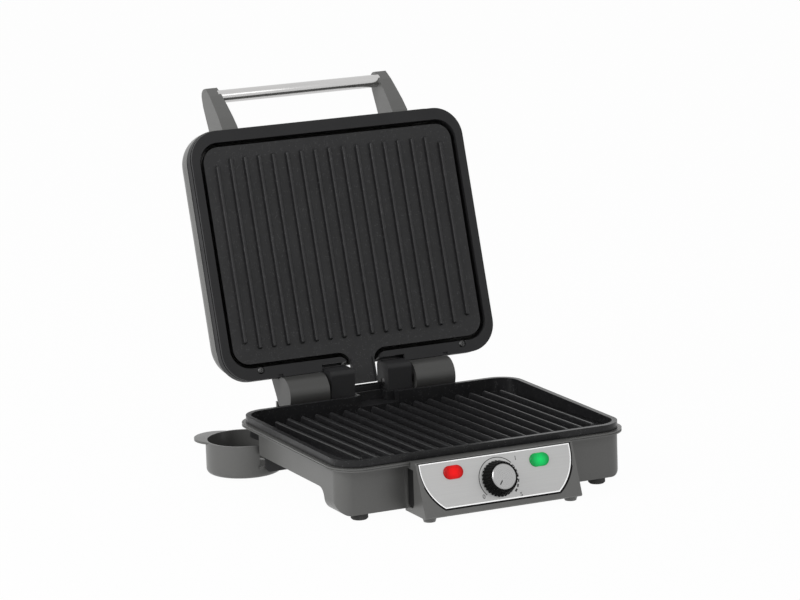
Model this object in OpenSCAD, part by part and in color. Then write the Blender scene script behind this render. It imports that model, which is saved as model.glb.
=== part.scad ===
// Electric contact grill with a hinged lid, a ribbed lower pan and a pull-off drip cup.
// Millimetres. X runs across the grill, -Y is the front, Z is up and the feet stand on z = 0.
// The lid is modelled closed and is then turned open about its hinge axis.

/* [Base] */
// Width of the base housing
base_w = 293; // [270:0.5:330]
// Depth of the main part of the base housing, front face to rear face
base_d = 231; // [226:0.5:250]
// How far the hinge part reaches behind the main housing
rear_ext_d = 41.5; // [41:0.5:60]
// Width of the hinge part
rear_ext_w = 210; // [200:0.5:230]
// Corner radius of the housing in plan
base_r = 13.5; // [8:0.5:25]
// Height of the top edge of the housing above the table
base_top = 48.5; // [46:0.1:52]
// Height of the underside of the legs above the table
leg_z = 5.8; // [5:0.1:9]
// Radius of the lower side edges of the front leg
leg_edge_r = 12; // [6:0.5:14]
// Height of the raised lower edge between the front and rear legs
arch_z = 26.5; // [22:0.5:28]
// Depth of the front leg, front to back
leg_d = 33.5; // [25:0.5:45]
// Radius in the corners of the raised lower edge
arch_r = 11; // [4:0.5:14]
// Wall of the plastic housings
wall = 2.8; // [2:0.1:3.5]

/* [Lower plate] */
// Width of the pan between the inner edges of its rim
pan_w = 284; // [260:0.5:320]
// Depth of the pan between the inner edges of its rim
pan_d = 229.5; // [215:0.5:245]
// Inner corner radius of the pan
pan_r = 20; // [12:0.5:30]
// Width of the flat rim round the pan
rim_w = 5; // [3.5:0.1:7]
// Height of the rim above the table
rim_z = 58.8; // [57:0.1:62]
// Height of the outer wall under the rim
rim_h = 6.3; // [5:0.1:6.5]
// Height of the pan floor at its front edge
floor_z = 51.8; // [50:0.1:53]
// Fall of the pan floor towards the back, degrees
floor_fall = 3; // [1.5:0.1:3.2]
// Fall of the rib crests towards the back, degrees
crest_fall = 1.5; // [0:0.1:2]
// Thickness of the pan floor
floor_t = 2.8; // [2:0.1:3.2]
// Number of ribs on each plate
rib_n = 17; // [9:2:19]
// Pitch of the ribs
rib_pitch = 15; // [10:0.5:15.5]
// Width of a rib at its foot
rib_w = 5.4; // [4:0.1:7]
// Radius of a rib's rounded crest
rib_r = 2; // [1.5:0.1:2.4]
// How much shorter the first and the last rib are at each end
rib_short = 6.5; // [0:0.5:12]
// Width of the notch in the middle of the pan's rear wall
notch_w = 44; // [36:0.5:56]
// Height of the floor of that notch
notch_z = 49.5; // [47:0.1:53]
// Radius of the grease outlet in the pan floor
outlet_r = 5; // [3:0.1:7]

/* [Flange] */
// How far the flange of the base stands out past the pan's rim
flange_out = 4; // [2:0.1:6]
// Thickness of the flange
flange_t = 3.2; // [2.5:0.1:3.4]

/* [Control box] */
// Half width of the control box
box_hw = 80.5; // [79:0.5:100]
// Lean of the panel, degrees from upright
panel_lean = 22; // [10:0.5:26]
// Distance from the housing's front face to the top edge of the panel
panel_out = 23.5; // [20:0.5:30]
// Height of the top edge of the panel above the table
panel_top = 51.2; // [49:0.1:53]
// Height of the panel along its slope
panel_h = 43.5; // [42:0.5:46]
// Half width of the panel at its top edge
panel_hw = 77.4; // [74:0.1:78]
// Radius of the curved ends of the panel
panel_r = 47.6; // [46:0.1:60]
// Thickness of the metal panel
panel_t = 1.2; // [0.8:0.1:1.6]
// Underside of the control box above the table
box_z = 4; // [3:0.1:6]

/* [Knob and lamps] */
// Radius of the knob's skirt at the panel
knob_r = 17.2; // [14:0.1:18.5]
// Height of the knob
knob_h = 12.4; // [9:0.1:18]
// Radius of the knob's metal cap
cap_r = 12.1; // [9:0.1:13]
// Number of flutes round the knob's skirt
flute_n = 30; // [12:1:40]
// Distance of the knob's axis below the panel's top edge
knob_drop = 23.2; // [21:0.1:25]
// Radius of the thermostat's shaft
shaft_r = 3; // [2.5:0.1:4]
// Radial running clearance of a shaft in its bore
shaft_clear = 0.05; // [0.02:0.01:0.1]
// Length of a lamp's lens
lamp_l = 19.7; // [15:0.1:24]
// Width of a lamp's lens
lamp_w = 12.4; // [8:0.1:14]
// Distance of each lamp from the middle of the panel
lamp_x = 44.2; // [38:0.1:55]
// Distance of the lamps below the panel's top edge
lamp_drop = 11.1; // [9:0.1:14]

/* [Drip cup] */
// Outer radius of the cup
cup_r = 36.4; // [30:0.1:37.5]
// Height of the cup
cup_h = 32; // [24:0.5:32.5]
// Height of the cup's floor above the table
cup_z = 3.2; // [2:0.1:4.5]
// Wall of the cup
cup_wall = 1.8; // [1.2:0.1:2.4]
// Height of the low wall on the side that slides under the housing
cup_low_h = 11.2; // [8:0.1:12]
// Distance from the housing's front face to the middle of the cup
cup_y = 221.5; // [215:0.5:225]
// Gap between the cup and the housing round it
cup_gap = 2.6; // [2:0.1:4]
// Radius of the thumb tab's outline
tab_r = 24.6; // [18:0.1:30]

/* [Lid] */
// Width of the lid's black frame
frame_w = 292; // [270:0.5:330]
// Depth of the lid's black frame
frame_d = 246; // [235:0.5:260]
// Corner radius of the frame
frame_r = 29; // [22:0.5:40]
// Thickness of the frame's face
frame_t = 3; // [2:0.1:4]
// Width of the upper plate
plate_w = 266.8; // [250:0.2:272]
// Depth of the upper plate
plate_d = 213.8; // [205:0.2:218]
// Corner radius of the upper plate
plate_r = 16; // [8:0.5:24]
// Thickness of the upper plate between its ribs
plate_t = 4; // [3:0.1:5]
// Gap round the upper plate
plate_gap = 4.4; // [2:0.1:5]
// Height of the upper ribs
upper_rib_h = 4; // [2:0.1:4.5]
// Gap between the rib crests at the front when the lid is closed
crest_gap = 2; // [1:0.1:4]
// Half width of the drain tongue of the upper plate
tongue_hw = 12.3; // [8:0.1:14]
// Length of the drain tongue
tongue_l = 32.5; // [20:0.5:34]
// How far the shell stands out past the frame at the sides
shell_out = 0.5; // [0.3:0.1:3]
// Height of the frame's outer wall, from its face to the shell
skirt_h = 13.5; // [12:0.1:15]
// Height of the lid's shell above that wall
shell_h = 29; // [26:0.5:38]
// Radius of the shell's top edge
shell_edge_r = 20; // [8:0.5:24]

/* [Hinge] */
// Height of the hinge axis above the table
hinge_z = 63.6; // [62.5:0.1:66]
// Distance of the hinge axis behind the frame's rear edge
hinge_back = 17.7; // [17.6:0.1:20]
// Gap between the pan's rear rim and the hinge barrels
barrel_gap = 4.9; // [4.5:0.1:8]
// Angle through which the lid opens, degrees
lid_open = 107.4; // [60:0.1:112]
// Radius of the lid's hinge barrels
barrel_r = 17.3; // [14:0.1:17.5]
// Inner end of each barrel, from the middle
barrel_in = 46.6; // [46:0.1:60]
// Outer end of each barrel, from the middle
barrel_out = 88.8; // [80:0.1:100]
// Radius of the hinge pins
pin_r = 4; // [3:0.1:5]
// Inner face of each post, from the middle
post_in = 18; // [17.8:0.1:22]
// Outer face of each post, from the middle
post_out = 43.2; // [36:0.1:44.2]
// Height of a post above the hinge axis
post_up = 19.4; // [12:0.1:20]

/* [Handle] */
// Half distance between the middles of the handle arms
arm_x = 92.1; // [75:0.1:110]
// Width of an arm at its root
arm_root_w = 16.8; // [12:0.1:22]
// Width of an arm at its tip
arm_tip_w = 12.2; // [8:0.1:14]
// How far the arms reach in front of the shell
arm_reach = 48; // [36:0.5:56]
// Rise of the arm's tip above the shell's top
arm_rise = 23.5; // [18:0.5:30]
// Radius of the metal handle bar
bar_r = 5.4; // [4.5:0.1:5.8]

/* [Feet and fasteners] */
// Radius of a rubber foot
foot_r = 8.1; // [6:0.1:10]
// Head radius of the small screws
screw_r = 3.2; // [2.5:0.1:4]

/* [Hidden] */

eps = 0.01;
seat = 0.02;        // hair gap between pieces that lie face to face
big = 400;
fine = 64;

// Base, front to back
front_y = -(base_d + rear_ext_d) / 2;
main_rear_y = front_y + base_d;
pan_front_y = front_y - 3.5;
pan_rear_y = pan_front_y + pan_d;
hinge_y = max(pan_rear_y + rim_w, main_rear_y) + barrel_gap + barrel_r;
rear_y = max(main_rear_y + rear_ext_d, hinge_y + barrel_r + 2);
pan_mid_y = (pan_front_y + pan_rear_y) / 2;
rim_out_w = pan_w + 2 * rim_w;
rim_out_d = pan_d + 2 * rim_w;
rim_out_r = pan_r + rim_w;
rim_bottom = rim_z - rim_h;
well_wall = 2.6;    // wall of the pan below its rim
well_step = 0.9;    // the pan narrows by this much below its rim
well_top = rim_bottom + 1;
channel_z = notch_z - 1.2;
channel_t = 2.4;
pan_gap = 0.4;      // clearance round the well of the pan
flange_w = rim_out_w + 2 * flange_out;
flange_d = rim_out_d + 2 * flange_out;
flange_r = rim_out_r + flange_out;
flange_z = base_top + 0.3;

// Ribs of the lower pan
crest_z = rim_z - 0.8;
rib_front_y = pan_front_y + 4;
rib_rear_y = pan_rear_y - 18;

// Legs, deck and cup
rear_leg_y = main_rear_y + 9;
rear_leg_in = 58;   // inner face of each rear leg from the middle
deck_z = hinge_z - barrel_r - 2.1;
deck_t = 3;
cup_x = -base_w / 2 + 0.5;
cup_mid_y = front_y + cup_y;
cup_top = cup_z + cup_h;
recess_r = cup_r + cup_gap;
cup_cut_x = cup_x + 1;
cup_foot_r = 4.5;
runner_w = 2.4;     // width of the two runners along the cup
runner_t = 2.4;     // thickness of the runners
runner_top = cup_z + cup_low_h;
ledge_top = runner_top - runner_t - 0.3;
ledge_t = 2.2;
guide_t = 2.6;      // thickness of the guides that carry the runners
guide_gap = 0.5;
front_guide_y = cup_mid_y - cup_r - runner_w - guide_gap;
cover_z = arch_z + 0.7;
cover_t = 2.2;
outlet_x = max(-pan_w / 2 + outlet_r + 0.5, min(-pan_w / 2 + 18, cup_x + 22));
outlet_y = pan_rear_y - 14;

inlet_x = 72;       // bush for the mains cord in the right rear leg
inlet_z = 25;
inlet_r = 6.9;
inlet_bore_r = 3.6;

// Hinge and lid, closed position
frame_rear_y = hinge_y - hinge_back;
frame_front_y = frame_rear_y - frame_d;
frame_mid_y = (frame_front_y + frame_rear_y) / 2;
upper_crest_z = crest_z + crest_gap;
valley_z = upper_crest_z + upper_rib_h;
face_z = upper_crest_z + 2;
frame_back_z = face_z + frame_t;
plate_inset = 16.3; // from the frame's rear edge to the plate
plate_rear_y = frame_rear_y - plate_inset;
plate_front_y = plate_rear_y - plate_d;
plate_mid_y = (plate_front_y + plate_rear_y) / 2;
plate_back_z = valley_z + plate_t;
upper_rib_front_y = plate_front_y + 11.7;
upper_rib_rear_y = plate_rear_y - 13.5;
skirt_top = face_z + skirt_h;
skirt_t = 2.6;
skirt_top_t = 2;     // thickness of the ledge that carries the shell
groove_z = face_z + 2.7;
groove_h = 2;
groove_d = 1.2;
shell_z = skirt_top + seat;
shell_front_y = frame_front_y - 2;
shell_rear_y = frame_rear_y - 4;
shell_w = frame_w + 2 * shell_out;
shell_d = shell_rear_y - shell_front_y;
shell_mid_y = (shell_front_y + shell_rear_y) / 2;
shell_r = frame_r + 4;
shell_top = shell_z + shell_h;
ring_w = shell_w - 2 * wall - 0.6;
ring_d = shell_d - 2 * wall - 0.6;
ring_r = shell_r - wall - 0.3;
lid_screw_x = frame_w / 2 - 37.4;
lid_screw_y = frame_rear_y - 8.9;
post_front = 12.7;  // post faces, measured from the hinge axis
post_rear = 13.3;
post_round = 5;
sweep_r = norm([post_rear, post_up]) + 0.8;
pin_bore_r = pin_r + shaft_clear;
pin_in = post_in + 0.5;
pin_out = barrel_out - 4;
cap_inner_r = barrel_r - 3.2;
seam_turn = -15;    // slope of the seam between a hinge arm and its cap

// Upper plate's bosses and its heat shield
boss_r = 5;
boss_h = 9;
boss_hole_r = 1.6;
shield_t = 0.8;
shield_top_z = plate_back_z + boss_h + seat + shield_t;

// Control panel
panel_y = front_y - panel_out;
box_front_off = 0.7;
lamp_y = -lamp_drop;
dial_y = -knob_drop;

// Handle
tip_y = shell_front_y - arm_reach;
tip_z = shell_top + arm_rise;
bar_y = tip_y + 9.75;
bar_z = tip_z - 13.4;
bar_hl = arm_x - arm_tip_w / 2 + 0.2;

// Heating elements
rod_r = 3.2;
rod_pitch = 46;
lower_rod_l = pan_d - 99.5;     // straight length of the lower rod's legs
upper_rod_l = plate_d - 93.8;   // and of the upper rod's
screw_y = shell_front_y + 34;   // screws of the handle arms

// Plan shapes made of true arcs

module rrect(w, d, r) {
    square([w, d - 2 * r], center = true);
    square([w - 2 * r, d], center = true);
    for (sx = [-1, 1], sy = [-1, 1])
        translate([sx * (w / 2 - r), sy * (d / 2 - r)]) circle(r, $fn = fine);
}

module rprism(w, d, r, z0, z1, y = 0) {
    translate([0, y, z0]) linear_extrude(z1 - z0) rrect(w, d, r);
}

// Half of a section with a rounded upper corner, w wide from the axis
module crown_profile(w, re) {
    square([w - re, re]);
    intersection() {
        translate([w - re, 0]) circle(re, $fn = fine);
        translate([w - re - 1, 0]) square([re + 2, re + 1]);
    }
}

// A block with true rounded top edges: straight walls, quarter rounds and quarter tori
module crowned_block(w, d, h, rc, re) {
    linear_extrude(h - re + eps) rrect(w, d, rc);
    translate([-(w / 2 - rc), 0, h - re]) rotate([90, 0, 90]) linear_extrude(w - 2 * rc) {
        crown_profile(d / 2, re);
        mirror([1, 0]) crown_profile(d / 2, re);
    }
    translate([0, d / 2 - rc, h - re]) rotate([90, 0, 0]) linear_extrude(d - 2 * rc) {
        crown_profile(w / 2, re);
        mirror([1, 0]) crown_profile(w / 2, re);
    }
    for (sx = [-1, 1], sy = [-1, 1])
        translate([sx * (w / 2 - rc), sy * (d / 2 - rc), h - re])
            rotate_extrude($fn = fine) crown_profile(rc, re);
}

// A bar with a side profile drawn in Y and Z, from x0 to x1
module along_x(x0, x1) {
    translate([x0, 0, 0]) rotate([90, 0, 90]) linear_extrude(x1 - x0) children();
}

module rod_x(x0, x1, r) {
    translate([x0, 0, 0]) rotate([0, 90, 0]) cylinder(r = r, h = x1 - x0, $fn = fine);
}

// Frames of reference

// The lid's own frame, turned from closed to the resting open position
module open_lid() {
    translate([0, hinge_y, hinge_z]) rotate([-lid_open, 0, 0])
        translate([0, -hinge_y, -hinge_z]) children();
}

// Panel frame: X across, Y up the slope from the panel's top edge, Z out of the panel
module on_panel() {
    translate([0, panel_y, panel_top]) rotate([90 - panel_lean, 0, 0]) children();
}

// Frame that falls backwards with the pan floor
module on_floor() {
    translate([0, pan_front_y, floor_z]) rotate([-floor_fall, 0, 0]) children();
}

module at_hinge() {
    translate([0, hinge_y, hinge_z]) children();
}

// Base

module housing_plan(inset) {
    translate([0, (front_y + main_rear_y) / 2])
        rrect(base_w - 2 * inset, base_d - 2 * inset, base_r - inset);
    translate([0, (main_rear_y - 20 + rear_y) / 2])
        rrect(rear_ext_w - 2 * inset, rear_ext_d + 20 - 2 * inset, 8 - inset);
}

// Front view of the housing with its rounded lower edges
module housing_front(inset) {
    r = leg_edge_r - inset;
    hw = base_w / 2 - inset;
    translate([-hw, leg_z + leg_edge_r]) square([2 * hw, base_top]);
    translate([-hw + r, leg_z + inset]) square([2 * (hw - r), base_top]);
    for (s = [-1, 1])
        translate([s * (hw - r), leg_z + leg_edge_r]) circle(r, $fn = fine);
}

module along_y() {
    translate([0, big, 0]) rotate([90, 0, 0]) linear_extrude(2 * big) children();
}

// Side view of the open space under the housing
module arch_profile() {
    y0 = front_y + leg_d;
    y1 = rear_leg_y;
    r = arch_r;
    translate([y0, -20]) square([y1 - y0, arch_z + 20 - r]);
    translate([y0 + r, -20]) square([y1 - y0 - 2 * r, arch_z + 20]);
    for (y = [y0 + r, y1 - r])
        translate([y, arch_z - r]) circle(r, $fn = fine);
}

module cup_recess(r) {
    translate([cup_x, cup_mid_y, -eps]) cylinder(r = r, h = base_top + 5, $fn = fine);
    translate([-big, cup_mid_y - r, -eps]) cube([big + cup_x, 2 * r, base_top + 5]);
}

module leg_cavity() {
    // hollow of the front leg and of the two rear legs, above their floors
    y0 = front_y + wall;
    intersection() {
        union() {
            translate([-big, y0, leg_z + wall]) cube([2 * big, leg_d - 2 * wall, base_top]);
            for (s = [-1, 1])
                translate([s * (rear_leg_in + rear_ext_w / 2) / 2, (rear_leg_y + rear_y) / 2, leg_z + wall])
                    translate([-(rear_ext_w / 2 - rear_leg_in) / 2 + wall, -(rear_y - rear_leg_y) / 2 + wall, 0])
                        cube([rear_ext_w / 2 - rear_leg_in - 2 * wall, rear_y - rear_leg_y - 2 * wall,
                            deck_z - deck_t - leg_z - wall]);
        }
        translate([0, 0, -1]) linear_extrude(base_top + 10) housing_plan(wall);
        along_y() housing_front(wall);
    }
}

module stop_wall() {
    // low wall behind the barrels on which the open lid leans
    for (s = [-1, 1])
        translate([s * (barrel_in + barrel_out) / 2 - (barrel_out - barrel_in) / 2, rear_y - wall, deck_z - eps])
            cube([barrel_out - barrel_in, wall, hinge_z - 9.6 - deck_z]);
}

// Where the cup's rear runner slides inside the left rear leg
module runner_slot(z0, z1, grow) {
    y0 = cup_mid_y + cup_r - cup_wall;
    translate([-rear_ext_w / 2 - 1, y0 - grow, z0])
        cube([rear_ext_w / 2 - rear_leg_in, runner_w + cup_wall + 2 * grow, z1 - z0]);
}

module base_housing() {
    color("dimgray") difference() {
        union() {
            intersection() {
                runner_slot(leg_z, ledge_top, 1);
                translate([0, 0, -1]) linear_extrude(base_top) housing_plan(0);
            }
            difference() {
                intersection() {
                    translate([0, 0, leg_z]) linear_extrude(base_top - leg_z) housing_plan(0);
                    along_y() housing_front(0);
                }
                // the hinge part is lower than the pan part
                translate([-big, main_rear_y, deck_z]) cube([2 * big, big, big]);
                along_x(-big, big) arch_profile();
                // open bay between the rear legs
                translate([-rear_leg_in, rear_leg_y - arch_r - eps, -1]) cube([2 * rear_leg_in, big, arch_z + 1]);
                // hollow under the pan, open above and below
                translate([0, 0, arch_z - 8]) linear_extrude(base_top)
                    intersection() {
                        housing_plan(wall);
                        translate([-big, front_y + leg_d - eps]) square([2 * big, main_rear_y - front_y - leg_d]);
                    }
                // hollow under the hinge deck
                translate([0, 0, arch_z - 8]) linear_extrude(deck_z - deck_t - arch_z + 8)
                    intersection() {
                        housing_plan(wall);
                        translate([-big, main_rear_y - 2]) square([2 * big, big]);
                    }
                leg_cavity();
                translate([0, 0, arch_z + 8]) linear_extrude(base_top) intersection() {
                    housing_plan(wall);
                    translate([-big, -big]) square([2 * big, big + main_rear_y - wall]);
                }
            }
            stop_wall();
            // wall round the drip cup
            intersection() {
                difference() {
                    translate([0, 0, arch_z]) cup_recess(recess_r + wall);
                    translate([0, 0, -1]) cup_recess(recess_r);
                }
                translate([0, 0, arch_z]) linear_extrude(base_top - arch_z) intersection() {
                    housing_plan(0);
                    translate([-big, -big]) square([2 * big, big + main_rear_y]);
                }
            }
        }
        on_floor() pan_well(well_step - well_wall - pan_gap, -floor_t - pan_gap, 60);
        rear_channel(-pan_gap, channel_z - channel_t - pan_gap, 90);
        translate([0, 0, -2]) cup_recess(recess_r);
        runner_slot(ledge_top, runner_top + 1.2, 0.5);
        // window behind the control box
        translate([-60, front_y - 1, leg_z + 6]) cube([120, wall + 2, base_top - leg_z - 12]);
        // hole for the cord inlet bush
        translate([inlet_x, rear_y + 1, inlet_z]) rotate([90, 0, 0])
            cylinder(r = inlet_r + 0.1, h = wall + 2, $fn = fine);
        // screw holes in the leg floors
        for (x = [-1, 1]) {
            translate([x * 92, front_y + leg_d / 2 + 1, leg_z - 1]) cylinder(r = 1.7, h = wall + 2, $fn = fine);
            translate([x * post_mid(), hinge_y, deck_z - deck_t - 1]) cylinder(r = 2.2, h = deck_t + 2, $fn = fine);
        }
    }
}

function post_mid() = (post_in + post_out) / 2;

module base_flange() {
    color("gray") difference() {
        rprism(flange_w, flange_d, flange_r, flange_z, flange_z + flange_t, pan_mid_y);
        rprism(pan_w + 2 * well_wall - 2 * well_step + 1, pan_d + 2 * well_wall - 2 * well_step + 1,
            pan_r + well_wall - well_step, flange_z - 1, flange_z + flange_t + 1, pan_mid_y);
        // fine groove round the edge
        difference() {
            rprism(flange_w + 2, flange_d + 2, flange_r + 1, flange_z + flange_t / 2 - 0.4,
                flange_z + flange_t / 2 + 0.4, pan_mid_y);
            rprism(flange_w - 1.4, flange_d - 1.4, flange_r - 0.7, flange_z, flange_z + flange_t, pan_mid_y);
        }
        // way out for the rear channel of the pan
        translate([-notch_w / 2 - 5, pan_rear_y - 2, flange_z - 1]) cube([notch_w + 10, 30, flange_t + 2]);
    }
}

module guide(x0, x1, y) {
    // an upright rib with a ledge along its foot that carries the cup's front runner
    z0 = ledge_top - ledge_t;
    r = 5;
    translate([0, y, 0]) rotate([90, 0, 0]) linear_extrude(guide_t) {
        translate([x0 + r, z0]) square([x1 - x0 - r, arch_z - 0.1 - z0]);
        translate([x0, z0 + r]) square([x1 - x0, arch_z - 0.1 - z0 - r]);
        translate([cup_x + 17, arch_z - 1]) square([x1 - cup_x - 17, cover_z - arch_z + 1 + eps]);
        translate([x0 + r, z0 + r]) circle(r, $fn = fine);
    }
    translate([x0 + r, y - eps, z0]) cube([x1 - x0 - r, runner_w + guide_gap - 0.2, ledge_t]);
}

module base_bottom_cover() {
    color("darkslategray") difference() {
        union() {
            translate([0, 0, cover_z]) linear_extrude(cover_t) difference() {
                intersection() {
                    housing_plan(wall + 0.3);
                    translate([-big, front_y + leg_d + 0.4]) square([2 * big, rear_leg_y - front_y - leg_d - 0.8]);
                }
                translate([cup_x, cup_mid_y]) circle(recess_r + wall + 0.3, $fn = fine);
            }
            guide(-base_w / 2 + 5, -base_w / 2 + 46, front_guide_y);
        }
        // cooling slots
        for (i = [-4:4], y = [-60, 0])
            translate([i * 14 - 2, y, cover_z - 1]) cube([4, 36, cover_t + 2]);
        for (sx = [-1, 1], y = [front_y + leg_d + 10, main_rear_y - 60])
            translate([sx * (base_w / 2 - 14), y, cover_z - 1]) cylinder(r = 1.7, h = cover_t + 2, $fn = fine);
    }
}

module box_profile(out) {
    // side view of the control box, grown by out on its panel side
    lean = tan(panel_lean);
    y_top = panel_y - out;
    polygon([[front_y - seat, box_z], [front_y - seat, base_top - 0.2],
        [panel_y + 10, base_top - 0.2], [panel_y + 10, panel_top + 1.4],
        [y_top + 1.5, panel_top + 1.4], [y_top - lean * 0.4, panel_top + 0.4],
        [y_top - lean * (panel_top - box_z - 1.5), box_z + 1.5],
        [y_top - lean * (panel_top - box_z - 1.5) + 1.5, box_z]]);
}

module panel_outline(g) {
    // trapezium whose lower corners are two large arcs
    intersection() {
        translate([-panel_hw - g, -panel_h - g]) square([2 * (panel_hw + g), panel_h + 2 * g]);
        union() {
            for (s = [-1, 1])
                translate([s * (panel_hw - panel_r), -5.5]) circle(panel_r + g, $fn = 128);
            translate([-(panel_hw - panel_r), -panel_h - g]) square([2 * (panel_hw - panel_r), panel_h + 2 * g]);
            translate([-panel_hw - g, -5.5]) square([2 * (panel_hw + g), 5.5 + g]);
        }
    }
}

module control_box() {
    color("dimgray") difference() {
        union() {
            along_x(-box_hw, box_hw) box_profile(box_front_off);
            // short legs under the front corners
            for (s = [-1, 1])
                translate([s * (box_hw - 8), front_y - 34, 0]) cylinder(r1 = 5.5, r2 = 7, h = box_z + 0.5, $fn = fine);
        }
        // hollow, open to the housing
        difference() {
            along_x(-box_hw + wall, box_hw - wall) box_profile(-wall);
            translate([-big, -big, -1]) cube([2 * big, 2 * big, box_z + wall + 1]);
            translate([-big, -big, base_top - wall]) cube([2 * big, 2 * big, 20]);
        }
        translate([-60, front_y - 6, leg_z + 6]) cube([120, 10, base_top - leg_z - 12]);
        // seat of the metal panel
        on_panel() translate([0, 0, -panel_t]) linear_extrude(10) panel_outline(0.8);
        // grip recess in each end
        for (s = [-1, 1])
            translate([s * box_hw - 2.2, front_y - 19, box_z + 5]) side_recess(14, base_top - box_z - 8, 4.4);
        // holes for shaft and lamps through the seat
        on_panel() {
            translate([0, dial_y, -10]) cylinder(r = 6, h = 12, $fn = fine);
            for (s = [-1, 1])
                translate([s * lamp_x, lamp_y, -10]) linear_extrude(12) pill(lamp_l + 2.4, lamp_w + 2.4);
        }
    }
}

module side_recess(d, h, depth) {
    // an upright slot with a rounded foot, cut into the end of the control box
    cube_from = 5;
    translate([0, 0, cube_from]) cube([depth, d, h - cube_from]);
    translate([0, cube_from, 0]) cube([depth, d - 2 * cube_from, h]);
    for (y = [cube_from, d - cube_from])
        translate([0, y, cube_from]) rotate([0, 90, 0]) cylinder(r = cube_from, h = depth, $fn = fine);
}

module pill(l, w) {
    square([l - w, w], center = true);
    for (s = [-1, 1])
        translate([s * (l - w) / 2, 0]) circle(w / 2, $fn = fine);
}

module control_panel() {
    color("silver") on_panel() translate([0, 0, -panel_t + seat]) difference() {
        linear_extrude(panel_t) panel_outline(0);
        translate([0, dial_y, -1]) cylinder(r = 4.5, h = panel_t + 2, $fn = fine);
        for (s = [-1, 1])
            translate([s * lamp_x, lamp_y, -1]) linear_extrude(panel_t + 2) pill(lamp_l + 0.4, lamp_w + 0.4);
    }
}

// A pill-shaped lens with a rounded edge, made of two revolves and one extrusion
module pill_dome(l, w, h, e) {
    module half_profile() {
        square([w / 2 - e, h]);
        square([w / 2, h - e]);
        translate([w / 2 - e, h - e]) circle(e, $fn = fine);
    }
    for (s = [-1, 1])
        translate([s * (l - w) / 2, 0, 0]) rotate_extrude($fn = fine) half_profile();
    translate([-(l - w) / 2, 0, 0]) rotate([90, 0, 90]) linear_extrude(l - w) {
        half_profile();
        mirror([1, 0]) half_profile();
    }
}

module lamp_lens(s) {
    on_panel() translate([s * lamp_x, lamp_y, -panel_t - 2]) {
        pill_dome(lamp_l, lamp_w, panel_t + 4.2, 1.6);
        linear_extrude(1.8) pill(lamp_l + 2, lamp_w + 2);
    }
}

module power_lamp_lens() {
    color("red") lamp_lens(-1);
}

module ready_lamp_lens() {
    color("limegreen") lamp_lens(1);
}

module lamp_holders() {
    color("whitesmoke") on_panel() for (s = [-1, 1])
        translate([s * lamp_x, lamp_y, -panel_t - 2 - seat]) difference() {
            translate([0, 0, -9]) linear_extrude(9) pill(lamp_l + 1, lamp_w);
            translate([0, 0, -7]) cylinder(r = 3.2, h = 8, $fn = fine);
        }
}

// Knob and thermostat

module knob_skirt() {
    top_r = cap_r + 1.9;
    color("black") on_panel() translate([0, dial_y, 0.4]) difference() {
        cylinder(r1 = knob_r, r2 = top_r, h = knob_h - 0.8, $fn = 96);
        // seat of the cap
        translate([0, 0, knob_h - 3.2]) cylinder(r = cap_r + 0.15, h = 5, $fn = fine);
        // blind hole that grips the shaft
        translate([0, 0, -1]) cylinder(r = shaft_r, h = 8, $fn = fine);
        // hollow underside
        translate([0, 0, -1]) difference() {
            cylinder(r = knob_r - 3, h = 6, $fn = fine);
            cylinder(r = shaft_r + 2.5, h = 7, $fn = fine);
        }
        for (i = [0:flute_n - 1])
            rotate([0, 0, i * 360 / flute_n]) translate([knob_r + 0.45, 0, -1])
                rotate([0, -atan((knob_r - top_r) / knob_h), 0]) cylinder(r = 1.15, h = knob_h + 3, $fn = 24);
    }
}

module knob_cap() {
    color("lightgray") on_panel() translate([0, dial_y, knob_h - 2.8 + seat]) difference() {
        rotate_extrude($fn = 96) polygon([[0, 0], [cap_r, 0], [cap_r, 2.2], [cap_r - 0.8, 3], [0, 3]]);
        // pointer line pressed into the cap
        rotate([0, 0, 231]) translate([4.5, -0.6, 2.6]) cube([4.6, 1.2, 2]);
    }
}

module thermostat_shaft() {
    color("lightsteelblue") on_panel() translate([0, dial_y, -13]) cylinder(r = shaft_r, h = 19.6, $fn = fine);
}

module thermostat_body() {
    color("tan") on_panel() translate([0, dial_y, 0]) difference() {
        union() {
            translate([-16, -12, -30]) cube([32, 24, 20]);
            translate([0, 0, -11]) cylinder(r = 6.5, h = 5, $fn = fine);
            for (s = [-1, 1])
                translate([s * 17.5 - 2, -3, -26]) cube([4, 6, 1]);
        }
        translate([0, 0, -14]) cylinder(r = shaft_r + shaft_clear, h = 20, $fn = fine);
    }
}

module thermostat_bracket() {
    // plate between the thermostat and the back of the panel seat
    color("silver") on_panel() translate([0, dial_y, -10 + seat]) difference() {
        translate([-26, -11, 0]) cube([52, 22, 1.2]);
        translate([0, 0, -1]) cylinder(r = 6.8, h = 4, $fn = fine);
        for (s = [-1, 1])
            translate([s * 22, 0, -1]) cylinder(r = 1.6, h = 4, $fn = fine);
    }
}

// Lower plate

module rib_profile(h) {
    // upright profile of one rib, standing on y = 0 with its root below
    polygon([[-rib_w / 2, -9], [rib_w / 2, -9], [rib_w / 2, -1], [rib_r, h - rib_r], [-rib_r, h - rib_r],
        [-rib_w / 2, -1]]);
    translate([0, h - rib_r]) circle(rib_r, $fn = 32);
}

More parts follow.
